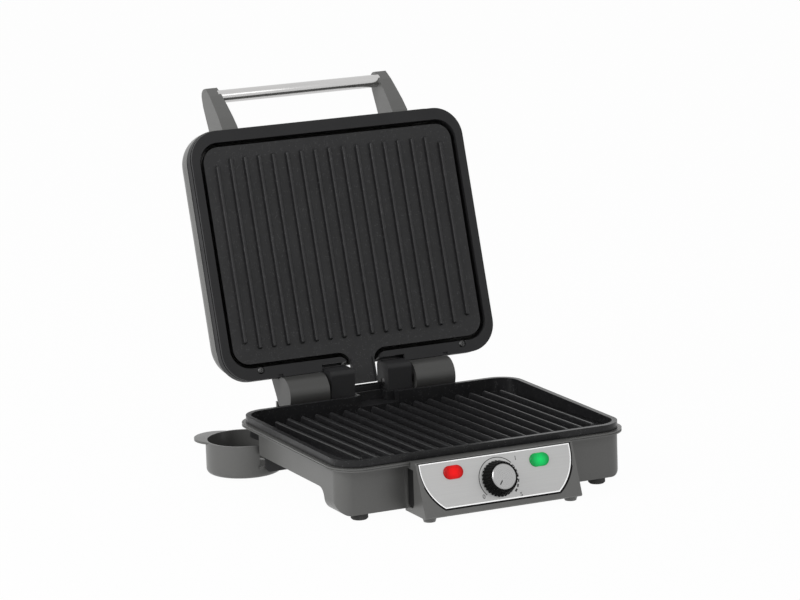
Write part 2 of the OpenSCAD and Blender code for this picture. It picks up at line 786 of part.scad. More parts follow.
module lower_ribs() {
    h = 5;
    a = rib_w / 2;
    for (i = [0:rib_n - 1]) {
        end = i == 0 || i == rib_n - 1 ? rib_short : 0;
        y0 = rib_front_y + end + a - pan_front_y;
        y1 = rib_rear_y - end - a - pan_front_y;
        translate([(i - (rib_n - 1) / 2) * rib_pitch, pan_front_y, crest_z]) rotate([-crest_fall, 0, 0])
            translate([0, 0, -h]) {
                translate([0, y1, 0]) rotate([90, 0, 0]) linear_extrude(y1 - y0) rib_profile(h);
                // rounded ends
                for (y = [y0, y1])
                    translate([0, y, 0]) {
                        translate([0, 0, -9]) cylinder(r = a, h = 8, $fn = 32);
                        translate([0, 0, -1]) cylinder(r1 = a, r2 = rib_r, h = h - rib_r + 1, $fn = 32);
                        translate([0, 0, h - rib_r]) sphere(rib_r, $fn = 32);
                    }
            }
    }
}

module pan_well(inset, z0, z1) {
    translate([0, pan_d / 2, z0]) linear_extrude(z1 - z0)
        rrect(pan_w - 2 * inset, pan_d - 2 * inset, pan_r - inset);
}

module rear_channel(inset, z0, z1) {
    // plan of the channel behind the notch: wide at the wall, narrow between the hinge posts
    w1 = notch_w + 2 * well_wall - 2 * inset;
    w2 = 2 * (post_in - 1.2) - 2 * inset;
    y1 = hinge_y - post_front - 1.6;
    y2 = hinge_y - 2.5;
    translate([-w1 / 2, pan_rear_y - 3, z0]) cube([w1, y1 - pan_rear_y + 3 - inset, z1 - z0]);
    translate([-w2 / 2, pan_rear_y, z0]) cube([w2, y2 - pan_rear_y - inset, z1 - z0]);
}

module lower_plate() {
    color("darkslategray") difference() {
        union() {
            // flat rim with its outer wall
            rprism(rim_out_w, rim_out_d, rim_out_r, rim_bottom, rim_z, pan_mid_y);
            // well, falling towards the back
            intersection() {
                on_floor() pan_well(well_step - well_wall, -floor_t, 40);
                rprism(big, big, 1, 0, well_top);
            }
            rear_channel(0, channel_z - channel_t, rim_z - 1.6);
        }
        // hollow of the pan down to its sloping floor, square with the rim above it
        intersection() {
            on_floor() pan_well(-2, 0, 60);
            rprism(pan_w, pan_d, pan_r, 20, 80, pan_mid_y);
        }
        // recess under the rim outside the well
        difference() {
            rprism(rim_out_w - 3, rim_out_d - 3, rim_out_r - 1.5, rim_bottom - 1, rim_bottom + 2.4, pan_mid_y);
            on_floor() pan_well(well_step - well_wall, -20, 60);
            rear_channel(0, 0, 90);
        }
        // notch and channel
        translate([-notch_w / 2, pan_rear_y - 4, notch_z]) cube([notch_w, rim_w + 6, 30]);
        rear_channel(well_wall, channel_z, 90);
        // grease outlet
        translate([outlet_x, outlet_y, 20]) cylinder(r = outlet_r, h = 40, $fn = fine);
    }
    color("darkslategray") intersection() {
        lower_ribs();
        on_floor() pan_well(-2, -1, 60);
    }
}

// A heating rod bent into legs joined by half circles, lying in the XY plane
module heating_rod(y_len, legs) {
    for (i = [0:legs - 1])
        translate([(i - (legs - 1) / 2) * rod_pitch, y_len / 2, 0]) rotate([90, 0, 0])
            cylinder(r = rod_r, h = y_len, $fn = 32);
    for (i = [0:legs - 2]) {
        up = i % 2 == 0 ? 1 : -1;
        translate([(i + 0.5 - (legs - 1) / 2) * rod_pitch, up * y_len / 2, 0]) rotate([0, 0, up > 0 ? 0 : 180])
            rotate_extrude(angle = 180, $fn = fine) translate([rod_pitch / 2, 0]) circle(rod_r, $fn = 32);
    }
    // thin cold ends
    for (s = [-1, 1])
        translate([s * (legs - 1) / 2 * rod_pitch, -y_len / 2, 0]) rotate([90, 0, 0])
            cylinder(r = 1.4, h = 12, $fn = 24);
}

module lower_heating_element() {
    color("darkgray") on_floor() translate([0, pan_d / 2 - 8, -floor_t - rod_r - seat]) heating_rod(lower_rod_l, 4);
}

module clamp_bar(w) {
    // a strip with a raised middle, pressing a rod against the plate
    translate([-w / 2, -5, 0]) cube([w, 10, 1]);
}

module lower_element_clamps() {
    color("silver") on_floor() for (x = [-1, 0, 1])
        translate([x * rod_pitch, pan_d / 2 - 8, -floor_t - 2 * rod_r - 1 - 2 * seat]) clamp_bar(rod_pitch - 4);
}

module lower_heat_shield() {
    z0 = cover_z + cover_t + 0.1;
    y0 = front_y + leg_d + 2;
    y1 = cup_mid_y - 20;
    color("lightgray") difference() {
        rprism(pan_w - 70, y1 - y0, 8, z0, z0 + 0.6, (y0 + y1) / 2);
        translate([cup_x, cup_mid_y, z0 - 1]) cylinder(r = recess_r + wall + 2, h = 3, $fn = fine);
        for (x = [-40, 40])
            translate([x, pan_mid_y, z0 - 1]) cylinder(r = 2, h = 3, $fn = fine);
    }
}

module drain_spout() {
    // short tube seated under the pan's grease outlet, above the cup
    top = floor_z - (outlet_y - pan_front_y) * tan(floor_fall) - floor_t;
    color("darkslategray") difference() {
        translate([outlet_x, outlet_y, runner_top + 12]) cylinder(r = outlet_r + 1.6, h = top - runner_top - 12 - 0.5,
            $fn = fine);
        translate([outlet_x, outlet_y, runner_top]) cylinder(r = outlet_r, h = 60, $fn = fine);
    }
}

// Drip cup

module cup_runner(x1, side) {
    // straight strip along one side of the cup with a wide root on the round wall
    y0 = side > 0 ? cup_r - 9 : -cup_r - runner_w;
    translate([cup_x, cup_mid_y + y0, runner_top - runner_t]) cube([26, 9 + runner_w, runner_t]);
    y1 = side > 0 ? cup_r : -cup_r - runner_w;
    translate([cup_x + 20, cup_mid_y + y1, runner_top - runner_t]) cube([x1 - cup_x - 20, runner_w, runner_t]);
}

module drip_cup() {
    color("gray") difference() {
        union() {
            intersection() {
                translate([cup_x, cup_mid_y, cup_z]) rotate_extrude($fn = 128) {
                    square([cup_r - cup_foot_r, cup_h]);
                    translate([0, cup_foot_r]) square([cup_r, cup_h - cup_foot_r]);
                    translate([cup_r - cup_foot_r, cup_foot_r]) circle(cup_foot_r, $fn = fine);
                }
                // the side under the housing has only a low wall
                union() {
                    translate([-big, -big, 0]) cube([big + cup_cut_x, 2 * big, big]);
                    translate([-big, -big, 0]) cube([2 * big, 2 * big, runner_top]);
                }
            }
            cup_runner(cup_x + 38, -1);
            cup_runner(-rear_ext_w / 2 + 30, 1);
            // thumb tab, a crescent outside the rim
            translate([cup_x, cup_mid_y, cup_top - 2.2]) rotate([0, 0, 135]) translate([tab_r, 0, 0])
                cylinder(r = tab_r, h = 2.2, $fn = fine);
        }
        translate([cup_x, cup_mid_y, cup_z + cup_wall]) rotate_extrude($fn = 128) {
            square([cup_r - cup_wall - 3, cup_h]);
            translate([0, 3]) square([cup_r - cup_wall, cup_h]);
            translate([cup_r - cup_wall - 3, 3]) circle(3, $fn = fine);
        }
    }
}

// Feet, posts and pins

module foot(x, y) {
    translate([x, y, 0]) rotate_extrude($fn = fine)
        polygon([[0, 0], [foot_r - 1.2, 0], [foot_r, 1.2], [foot_r, leg_z - seat], [0, leg_z - seat]]);
}

module front_feet() {
    color("black") for (s = [-1, 1])
        foot(s * (base_w / 2 - 23.5), front_y + foot_r + 0.9);
}

module rear_feet() {
    color("black") for (s = [-1, 1])
        foot(s * (rear_ext_w / 2 - 18), rear_y - 16);
}

module hinge_post() {
    // side profile with rounded top corners, bored for the hinge pin
    y0 = -post_front;
    y1 = post_rear;
    z1 = post_up;
    z0 = deck_z - hinge_z + seat;
    r = post_round;
    difference() {
        at_hinge() along_x(post_in, post_out) {
            translate([y0, z0]) square([y1 - y0, z1 - r - z0]);
            translate([y0 + r, z0]) square([y1 - y0 - 2 * r, z1 - z0]);
            for (y = [y0 + r, y1 - r])
                translate([y, z1 - r]) circle(r, $fn = fine);
        }
        at_hinge() rod_x(post_in - 1, post_out + 1, pin_r);
        // pocket that lightens the back
        at_hinge() translate([post_in + 3, post_rear - 6, z0 + 4]) cube([post_out - post_in - 6, 10, 9]);
    }
}

module hinge_post_left() {
    color("dimgray") mirror([1, 0, 0]) hinge_post();
}

module hinge_post_right() {
    color("dimgray") hinge_post();
}

module hinge_pin() {
    at_hinge() rod_x(pin_in, pin_out, pin_r);
}

module hinge_pin_left() {
    color("silver") mirror([1, 0, 0]) hinge_pin();
}

module hinge_pin_right() {
    color("silver") hinge_pin();
}

// Inside the base

module terminal_block() {
    z0 = cover_z + cover_t;
    color("ivory") translate([84, main_rear_y - 27, z0 + seat]) difference() {
        cube([30, 14, 6]);
        for (i = [0:2])
            translate([5 + i * 10, 7, 2]) cylinder(r = 2.2, h = 8, $fn = fine);
    }
}

module thermal_fuse() {
    z0 = cover_z + cover_t;
    color("wheat") translate([118, pan_mid_y - 20, z0 + 2.6]) rotate([90, 0, 0]) {
        cylinder(r = 2.5, h = 12, $fn = fine);
        translate([0, 0, -8]) cylinder(r = 0.6, h = 28, $fn = 24);
    }
}

module cord_inlet_bush() {
    lip_t = 1.6;
    color("black") translate([inlet_x, rear_y + lip_t + seat, inlet_z]) rotate([90, 0, 0]) difference() {
        union() {
            cylinder(r = inlet_r, h = wall + 2 * lip_t + 2 * seat, $fn = fine);
            cylinder(r = inlet_r + 2.1, h = lip_t, $fn = fine);
            translate([0, 0, wall + lip_t + 2 * seat]) cylinder(r = inlet_r + 1.7, h = lip_t, $fn = fine);
        }
        translate([0, 0, -1]) cylinder(r = inlet_bore_r, h = wall + 2 * lip_t + 2, $fn = fine);
    }
}

module small_screw(len) {
    // domed head above z = 0, shank below, cross recess in the head
    difference() {
        union() {
            rotate_extrude($fn = fine) polygon([[0, 0], [screw_r, 0], [screw_r, 0.7], [screw_r - 1, 1.5], [0, 1.8]]);
            translate([0, 0, -len]) cylinder(r = 1.6, h = len + eps, $fn = 24);
        }
        for (a = [0, 90])
            rotate([0, 0, a]) translate([-2, -0.45, 0.8]) cube([4, 0.9, 2]);
    }
}

module bottom_cover_screws() {
    color("silver") for (sx = [-1, 1], y = [front_y + leg_d + 10, main_rear_y - 60])
        translate([sx * (base_w / 2 - 14), y, cover_z - seat]) mirror([0, 0, 1]) small_screw(cover_t + 4);
}

// Lid, drawn closed

// Plan of the upper plate with its drain tongue, grown by g
module plate_plan(g) {
    y_edge = plate_rear_y + g;
    fr = 13 - g;
    hw = tongue_hw + g;
    translate([0, plate_mid_y]) rrect(plate_w + 2 * g, plate_d + 2 * g, plate_r + g);
    translate([-hw, plate_rear_y - 20]) square([2 * hw, 20 + tongue_l + g]);
    // hollow fillets where the tongue leaves the plate
    difference() {
        translate([-hw - fr, y_edge - 2]) square([2 * (hw + fr), fr + 2]);
        for (s = [-1, 1])
            translate([s * (hw + fr), y_edge + fr]) circle(fr, $fn = fine);
    }
}

module upper_ribs() {
    for (i = [0:rib_n - 1]) {
        end = i == 0 || i == rib_n - 1 ? rib_short : 0;
        y0 = upper_rib_front_y + end;
        y1 = upper_rib_rear_y - end;
        x = (i - (rib_n - 1) / 2) * rib_pitch;
        translate([x, y0 + rib_r, upper_crest_z]) mirror([0, 0, 1]) rotate([90, 0, 180])
            linear_extrude(y1 - y0 - 2 * rib_r) translate([0, -upper_rib_h]) upper_rib_profile();
        for (y = [y0 + rib_r, y1 - rib_r])
            translate([x, y, upper_crest_z + rib_r]) {
                sphere(rib_r, $fn = 32);
                cylinder(r = rib_r, h = upper_rib_h, $fn = 32);
            }
    }
}

module upper_rib_profile() {
    h = upper_rib_h;
    polygon([[-rib_w / 2, -1], [rib_w / 2, -1], [rib_r, h - rib_r], [-rib_r, h - rib_r]]);
    translate([0, h - rib_r]) circle(rib_r, $fn = 32);
}

module upper_plate() {
    color("darkslategray") open_lid() {
        translate([0, 0, valley_z]) linear_extrude(plate_t) plate_plan(0);
        upper_ribs();
        // raised edges of the tongue
        for (s = [-1, 1])
            translate([s * (tongue_hw - 0.9) - 0.9, plate_rear_y + 8, valley_z - 1.4])
                cube([1.8, tongue_l - 8, 1.5]);
        // mounting bosses on the back
        at_bosses() translate([0, 0, plate_back_z - eps]) difference() {
            cylinder(r = boss_r, h = boss_h + eps, $fn = fine);
            translate([0, 0, 1]) cylinder(r = boss_hole_r, h = boss_h, $fn = fine);
        }
    }
}

module upper_heating_element() {
    color("darkgray") open_lid() translate([0, plate_mid_y, plate_back_z + rod_r + seat]) heating_rod(upper_rod_l, 4);
}

module upper_element_clamps() {
    color("silver") open_lid() for (x = [-1, 0, 1])
        translate([x * rod_pitch, plate_mid_y, plate_back_z + 2 * rod_r + 2 * seat]) clamp_bar(rod_pitch - 4);
}

module upper_heat_shield() {
    z0 = shield_top_z - shield_t;
    color("lightgray") open_lid() difference() {
        rprism(plate_w - 24, plate_d - 24, plate_r - 8, z0, shield_top_z, plate_mid_y);
        rprism(plate_w - 60, plate_d - 60, plate_r - 12, z0 - 1, z0 + 0.3, plate_mid_y);
        at_bosses() translate([0, 0, z0 - 1]) cylinder(r = boss_hole_r, h = 4, $fn = fine);
    }
}

// Space that the hinge posts need as the lid turns
module post_sweep() {
    for (s = [-1, 1])
        at_hinge() rod_x(s > 0 ? post_in - 1.3 : -post_out - 1.3, s > 0 ? post_out + 1.3 : -post_in + 1.3, sweep_r);
}

module lid_frame() {
    color("black") open_lid() difference() {
        union() {
            // face, outer wall and the ledge that the shell sits on
            difference() {
                rprism(frame_w, frame_d, frame_r, face_z, skirt_top, frame_mid_y);
                rprism(frame_w - 2 * skirt_t, frame_d - 2 * skirt_t, frame_r - skirt_t, frame_back_z,
                    skirt_top - skirt_top_t, frame_mid_y);
                rprism(ring_w - 2.4, ring_d - 2.4, ring_r - 1.2, skirt_top - skirt_top_t - 1, skirt_top + 1,
                    shell_mid_y);
            }
            // lip inside the shell
            difference() {
                rprism(ring_w, ring_d, ring_r, skirt_top - eps, skirt_top + 3, shell_mid_y);
                rprism(ring_w - 2.4, ring_d - 2.4, ring_r - 1.2, skirt_top - 1, skirt_top + 4, shell_mid_y);
            }
            // wall round the plate
            translate([0, 0, frame_back_z - eps]) linear_extrude(8) intersection() {
                plate_plan(plate_gap + 2.4);
                translate([-big, -big]) square([2 * big, big + frame_rear_y - skirt_t]);
            }
        }
        translate([0, 0, face_z - 1]) linear_extrude(30) plate_plan(plate_gap);
        post_sweep();
        // groove round the outer wall
        difference() {
            rprism(frame_w + 2, frame_d + 2, frame_r + 1, groove_z, groove_z + groove_h, frame_mid_y);
            rprism(frame_w - 2 * groove_d, frame_d - 2 * groove_d, frame_r - groove_d, groove_z - 1,
                groove_z + groove_h + 1, frame_mid_y);
        }
        // screw holes and the two small slots in the rear edge
        for (s = [-1, 1]) {
            translate([s * lid_screw_x, lid_screw_y, face_z - 1]) cylinder(r = 1.7, h = frame_t + 5, $fn = fine);
            translate([s * lid_screw_x, lid_screw_y, face_z - eps]) cylinder(r = screw_r + 0.5, h = 1, $fn = fine);
            translate([s * barrel_out - 2.5, frame_rear_y - 3, face_z - 1]) cube([5, 4, 2.6]);
        }
    }
}

module shell_solid() {
    translate([0, shell_mid_y, shell_z]) crowned_block(shell_w, shell_d, shell_h, shell_r, shell_edge_r);
}

// Places of the four screw bosses behind the upper plate
module at_bosses() {
    for (sx = [-1, 1], y = [plate_front_y + 30, plate_rear_y - 30])
        translate([sx * (plate_w / 2 - 22), y, 0]) children();
}

module shell_posts() {
    z0 = shield_top_z + seat;
    at_bosses() translate([0, 0, z0]) difference() {
        cylinder(r = boss_r + 1, h = shell_top - wall - z0 + eps, $fn = fine);
        translate([0, 0, -1]) cylinder(r = boss_hole_r, h = 12, $fn = fine);
    }
}

module lid_shell() {
    color("dimgray") open_lid() shell_posts();
    color("dimgray") open_lid() difference() {
        shell_solid();
        translate([0, shell_mid_y, shell_z - 1])
            crowned_block(shell_w - 2 * wall, shell_d - 2 * wall, shell_h - wall + 1, shell_r - wall, shell_edge_r - wall);
        post_sweep();
        // screw holes of the handle arms
        for (s = [-1, 1])
            translate([s * arm_x, screw_y, shell_top - 12]) cylinder(r = 2.1, h = 20, $fn = fine);
    }
}

// Side view of the shell's front edge, grown by g
module shell_front_profile(g) {
    r = shell_edge_r + g;
    translate([shell_front_y - g, 0]) square([90, shell_top - shell_edge_r]);
    translate([shell_front_y + shell_edge_r, 0]) square([90, shell_top + g]);
    translate([shell_front_y + shell_edge_r, shell_top - shell_edge_r]) circle(r, $fn = fine);
}

// Side profile of the web that joins a hinge barrel to the shell
module arm_web_profile() {
    y0 = shell_rear_y - hinge_y;
    z0 = shell_z - hinge_z;
    re = shell_edge_r + seat;
    a = barrel_r - 0.5;
    difference() {
        polygon([[y0 - 8, z0], [y0 - 8, z0 + shell_h / 2], [a * sin(20), a * cos(20)], [0, 0]]);
        // the frame, and the shell with its rounded edge
        translate([-big, -big]) square([big + frame_rear_y - hinge_y + 0.3, big + z0]);
        translate([-big, -1]) square([big + y0 + seat, z0 + shell_h - shell_edge_r + 1]);
        translate([y0 - shell_edge_r, z0 + shell_h - shell_edge_r]) circle(re, $fn = fine);
    }
}

module cap_zone() {
    // half plane below the seam, from the axis outwards
    rotate([0, 0, seam_turn]) translate([-big, -big]) square([2 * big, big]);
}

module hinge_arm() {
    difference() {
        at_hinge() union() {
            along_x(barrel_in, barrel_out) difference() {
                circle(barrel_r, $fn = 96);
                difference() {
                    cap_zone();
                    circle(cap_inner_r, $fn = 96);
                }
            }
            along_x(barrel_in, barrel_out) arm_web_profile();
        }
        at_hinge() rod_x(barrel_in - 1, pin_out + 0.4, pin_bore_r);
    }
}

module hinge_cap() {
    // curved cover over the lower half of the barrel
    at_hinge() along_x(barrel_in, barrel_out) difference() {
        intersection() {
            circle(barrel_r, $fn = 96);
            rotate([0, 0, seam_turn]) translate([-big, -big]) square([2 * big, big - 0.2]);
        }
        circle(cap_inner_r + seat, $fn = 96);
    }
}

module hinge_arm_left() {
    color("dimgray") open_lid() mirror([1, 0, 0]) hinge_arm();
}

module hinge_arm_right() {
    color("dimgray") open_lid() hinge_arm();
}

module hinge_cap_left() {
    color("dimgray") open_lid() mirror([1, 0, 0]) hinge_cap();
}

module hinge_cap_right() {
    color("dimgray") open_lid() hinge_cap();
}

module lid_screws() {
    color("silver") open_lid() for (s = [-1, 1])
        translate([s * lid_screw_x, lid_screw_y, face_z + 1 - seat - eps]) mirror([0, 0, 1]) small_screw(frame_t + 3);
}

// Handle

// Side view of an arm: a foot along the shell's top that sweeps forwards and up to the bar
module arm_side() {
    y0 = shell_front_y;
    z0 = shell_top;
    d = arm_reach;
    h = arm_rise;
    polygon([[y0 + 52, z0 - 6], [y0 + 52, z0 + 1.5], [y0 + 30, z0 + 5.5], [y0 + 10, z0 + 0.48 * h],
        [y0 - 0.14 * d, z0 + 0.62 * h], [y0 - 0.41 * d, z0 + 0.8 * h], [y0 - 0.66 * d, tip_z - 1], [tip_y + 6.5, tip_z],
        [tip_y + 3, tip_z - 1.2], [tip_y + 0.8, tip_z - 4.2], [tip_y, tip_z - 8], [tip_y + 0.4, tip_z - 12.6],
        [y0 - 0.8 * d, z0 + 0.1 * h], [y0 - 0.54 * d, z0 - 6.5], [y0 - 0.29 * d, z0 - 14.5],
        [y0 - 0.06 * d, z0 - 20.5], [y0 + 8, z0 - 23]]);
}

// Plan of an arm: wide at its root, narrow at its tip
module arm_plan() {
    a = arm_root_w / 2;
    b = arm_tip_w / 2;
    y0 = shell_front_y;
    polygon([[-a, y0 + 60], [a, y0 + 60], [a, y0], [b, tip_y - 1], [-b, tip_y - 1], [-a, y0]]);
}

module handle_arm() {
    translate([arm_x, 0, 0]) difference() {
        intersection() {
            along_x(-20, 20) arm_side();
            linear_extrude(big) arm_plan();
        }
        along_x(-20, 20) shell_front_profile(seat);
        // socket of the bar
        translate([-20, bar_y, bar_z]) rotate([0, 90, 0])
            cylinder(r = bar_r + 0.05, h = 20 - arm_tip_w / 2 + 2.5, $fn = fine);
        translate([0, screw_y, shell_top - 10]) cylinder(r = 1.6, h = 13, $fn = fine);
    }
}

module handle_arm_left() {
    color("dimgray") open_lid() mirror([1, 0, 0]) handle_arm();
}

module handle_arm_right() {
    color("dimgray") open_lid() handle_arm();
}

module handle_bar() {
    color("silver") open_lid() translate([0, bar_y, bar_z]) rod_x(-bar_hl - 1.8, bar_hl + 1.8, bar_r);
}

module handle_screws() {
    color("silver") open_lid() for (s = [-1, 1])
        translate([s * arm_x, screw_y, shell_top - wall - seat]) mirror([0, 0, 1]) small_screw(wall + 2.4);
}

base_housing();
base_flange();
base_bottom_cover();
control_box();
control_panel();
knob_skirt();
knob_cap();
thermostat_shaft();
thermostat_body();
thermostat_bracket();
power_lamp_lens();
ready_lamp_lens();
lamp_holders();
lower_plate();
lower_heating_element();
lower_element_clamps();
lower_heat_shield();
drain_spout();
drip_cup();
front_feet();
rear_feet();
hinge_post_left();
hinge_post_right();
hinge_pin_left();
hinge_pin_right();
terminal_block();
thermal_fuse();
cord_inlet_bush();
bottom_cover_screws();
lid_frame();
lid_shell();
upper_plate();
upper_heating_element();
upper_element_clamps();
upper_heat_shield();
hinge_arm_left();
hinge_arm_right();
hinge_cap_left();
hinge_cap_right();
lid_screws();
handle_arm_left();
handle_arm_right();
handle_bar();
handle_screws();
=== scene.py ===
"""Looks and studio for an electric contact grill with a hinged lid."""

import math

import bmesh
import bpy
from bpy.props import FloatProperty, FloatVectorProperty, IntProperty, PointerProperty
from mathutils import Matrix, Vector


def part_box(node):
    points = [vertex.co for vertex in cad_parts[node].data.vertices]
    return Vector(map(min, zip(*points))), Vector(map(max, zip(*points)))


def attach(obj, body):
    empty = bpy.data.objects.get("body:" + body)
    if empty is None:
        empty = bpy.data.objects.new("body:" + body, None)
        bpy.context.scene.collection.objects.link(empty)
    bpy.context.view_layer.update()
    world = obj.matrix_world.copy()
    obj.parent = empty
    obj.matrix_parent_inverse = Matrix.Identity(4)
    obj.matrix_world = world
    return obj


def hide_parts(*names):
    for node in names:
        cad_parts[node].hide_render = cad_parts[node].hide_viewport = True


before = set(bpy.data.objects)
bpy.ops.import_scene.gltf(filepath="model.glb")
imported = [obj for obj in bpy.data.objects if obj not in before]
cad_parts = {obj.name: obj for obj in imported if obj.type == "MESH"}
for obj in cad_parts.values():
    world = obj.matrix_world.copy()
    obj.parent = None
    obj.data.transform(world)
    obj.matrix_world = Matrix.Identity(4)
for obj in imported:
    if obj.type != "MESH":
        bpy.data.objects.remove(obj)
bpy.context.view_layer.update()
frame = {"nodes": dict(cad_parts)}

bl_info = {
    "name": "Contact grill looks",
    "version": (1, 0, 0),
    "blender": (4, 5, 0),
    "location": "View3D > Sidebar > Grill",
    "description": "Finishes, dial marks, studio and camera for a contact grill",
    "category": "Object",
}

MM = 0.001
SCENE = bpy.context.scene

# The panel leans back by this angle; its frame is X across, Y up the slope, Z outwards
PANEL_LEAN = math.radians(22.0)
PANEL_TOP = Vector((0.0, -159.75, 51.2)) * MM
# Scale of the smudges on moulded plastic, and the swing of its tone
SMUDGE_SCALE = 22.0
MOTTLE = 0.12
# Height of the lines of brushed and turned metal
BRUSH_DEPTH = 0.004 * MM
# Light that the lenses give off
LENS_GLOW = 0.5
# Thickness of the print on the panel, and its height above it
PRINT_HEIGHT = 0.08 * MM
PRINT_LIFT = 0.03 * MM
# Figures of the dial, with their places from its middle in millimetres
FIGURE_SIZE = 5.6 * MM
FIGURES = (("0", -18.4, -14.6), ("1", 20.4, 16.5), ("5", 19.6, -17.5))
# Size of a black sheet of painted shade in a recess, and the place of the right one, in
# millimetres
RECESS_SHADE_SIZE = (1.3, 13.4, 39.6)
RECESS_SHADE_PLACE = (78.85, -148.25, 29.1)
# Section of the web between the posts, as Y and Z, and its half length, in millimetres
BRIDGE_SECTION = ((122.6, 50.5), (129.6, 50.5), (129.6, 58.5), (127.8, 61.4), (124.6, 61.9),
                  (122.6, 60.4))
BRIDGE_HALF = 18.3
# The floor's half width in metres, its tone, and the share of plain white that a viewer sees in it
FLOOR_HALF = 8.0
FLOOR_TONE = 0.86
FLOOR_WHITE = 0.975
# Power of the front lamp as a share of the key lamp's
FRONT_SHARE = 0.22


# Sizes and colours that a user may change


class GrillFinishSettings(bpy.types.PropertyGroup):
    housing: FloatVectorProperty(
        name="Housing", description="Gunmetal colour of the mouldings", subtype="COLOR",
        size=3, min=0, max=1, default=(0.135, 0.135, 0.131))
    frame: FloatVectorProperty(
        name="Lid frame", description="Grained black of the lid's frame", subtype="COLOR",
        size=3, min=0, max=1, default=(0.020, 0.020, 0.021))
    coating: FloatVectorProperty(
        name="Non-stick coating", description="Colour of the plates", subtype="COLOR",
        size=3, min=0, max=1, default=(0.013, 0.013, 0.0138))
    panel: FloatVectorProperty(
        name="Panel", description="Colour of the brushed panel", subtype="COLOR",
        size=3, min=0, max=1, default=(0.50, 0.50, 0.497))
    red: FloatVectorProperty(
        name="Red lens", description="Colour of the power lamp", subtype="COLOR",
        size=3, min=0, max=1, default=(0.74, 0.0015, 0.002))
    green: FloatVectorProperty(
        name="Green lens", description="Colour of the ready lamp", subtype="COLOR",
        size=3, min=0, max=1, default=(0.003, 0.52, 0.11))


class GrillDialSettings(bpy.types.PropertyGroup):
    drop: FloatProperty(
        name="Drop", description="Distance of the dial's middle below the panel's top edge",
        unit="LENGTH", default=23.2 * MM)
    radius: FloatProperty(
        name="Radius", description="Radius of the printed arc", unit="LENGTH", default=20.0 * MM)
    line: FloatProperty(
        name="Line", description="Width of the printed arc", unit="LENGTH", default=0.7 * MM)
    dashes: IntProperty(
        name="Dashes", description="Number of thick dashes after the arc", min=2, max=12,
        default=6)


class GrillCupSettings(bpy.types.PropertyGroup):
    middle: FloatVectorProperty(
        name="Middle", description="Axis of the cup", subtype="TRANSLATION", size=2,
        default=(-146.0 * MM, 85.25 * MM))
    radius: FloatProperty(
        name="Radius", description="Outer radius of the cup", unit="LENGTH", default=36.4 * MM)
    wall: FloatProperty(
        name="Wall", description="Thickness of the cup's wall", unit="LENGTH", default=1.8 * MM)
    low: FloatProperty(
        name="Low wall", description="Top of the low wall", unit="LENGTH", default=14.4 * MM)
    top: FloatProperty(
        name="Top", description="Height of the cup's rim", unit="LENGTH", default=35.2 * MM)
    cut: FloatProperty(
        name="Cut", description="From the cup's axis to the end of its high wall", unit="LENGTH",
        default=1.0 * MM)


class GrillTubeSettings(bpy.types.PropertyGroup):
    radius: FloatProperty(
        name="Radius", description="Radius of the handle's tube", unit="LENGTH", default=6.4 * MM)


class GrillStageSettings(bpy.types.PropertyGroup):
    eye: FloatVectorProperty(
        name="Eye", description="Place of the camera", subtype="TRANSLATION", size=3,
        default=(-1.5802, -3.34585, 0.9352))
    azimuth: FloatProperty(
        name="Azimuth", description="Direction the camera looks in, from +Y towards +X",
        subtype="ANGLE", default=math.radians(25.063))
    elevation: FloatProperty(
        name="Elevation", description="How far the camera looks down", subtype="ANGLE",
        default=math.radians(11.709))
    roll: FloatProperty(
        name="Roll", description="Tilt of the camera about its view line", subtype="ANGLE",
        default=math.radians(-1.847))
    lens: FloatProperty(
        name="Lens", description="Focal length on a 36 mm sensor, in millimetres", default=179.4)
    key: FloatProperty(
        name="Key light", description="Power of the lamp on the left, in watts", default=33.0)
    sky: FloatProperty(
        name="Sky", description="Strength of the even light all round", default=0.38)


# Node helpers


def put(tree, kind, **settings):
    """Adds a shader node and sets its plain settings."""
    node = tree.nodes.new(kind)
    for key, value in settings.items():
        setattr(node, key, value)
    return node


def fill(node, **values):
    """Sets the default values of a node's inputs by name, with _ for a space."""
    for key, value in values.items():
        node.inputs[key.replace("_", " ")].default_value = value
    return node


def link(tree, source, target):
    tree.links.new(source, target)


def rgba(colour, share=1.0):
    return (colour[0] * share, colour[1] * share, colour[2] * share, 1.0)


def new_group(name, inputs, outputs):
    """An empty shader node group with named sockets."""
    tree = bpy.data.node_groups.new(name, "ShaderNodeTree")
    for label, kind, value in inputs:
        socket = tree.interface.new_socket(name=label, in_out="INPUT", socket_type=kind)
        if value is not None:
            socket.default_value = value
    for label, kind in outputs:
        tree.interface.new_socket(name=label, in_out="OUTPUT", socket_type=kind)
    return tree, put(tree, "NodeGroupInput"), put(tree, "NodeGroupOutput")


SURFACE_OUTPUTS = [("Height", "NodeSocketFloat"), ("Roughness", "NodeSocketFloat"),
                   ("Tone", "NodeSocketFloat")]


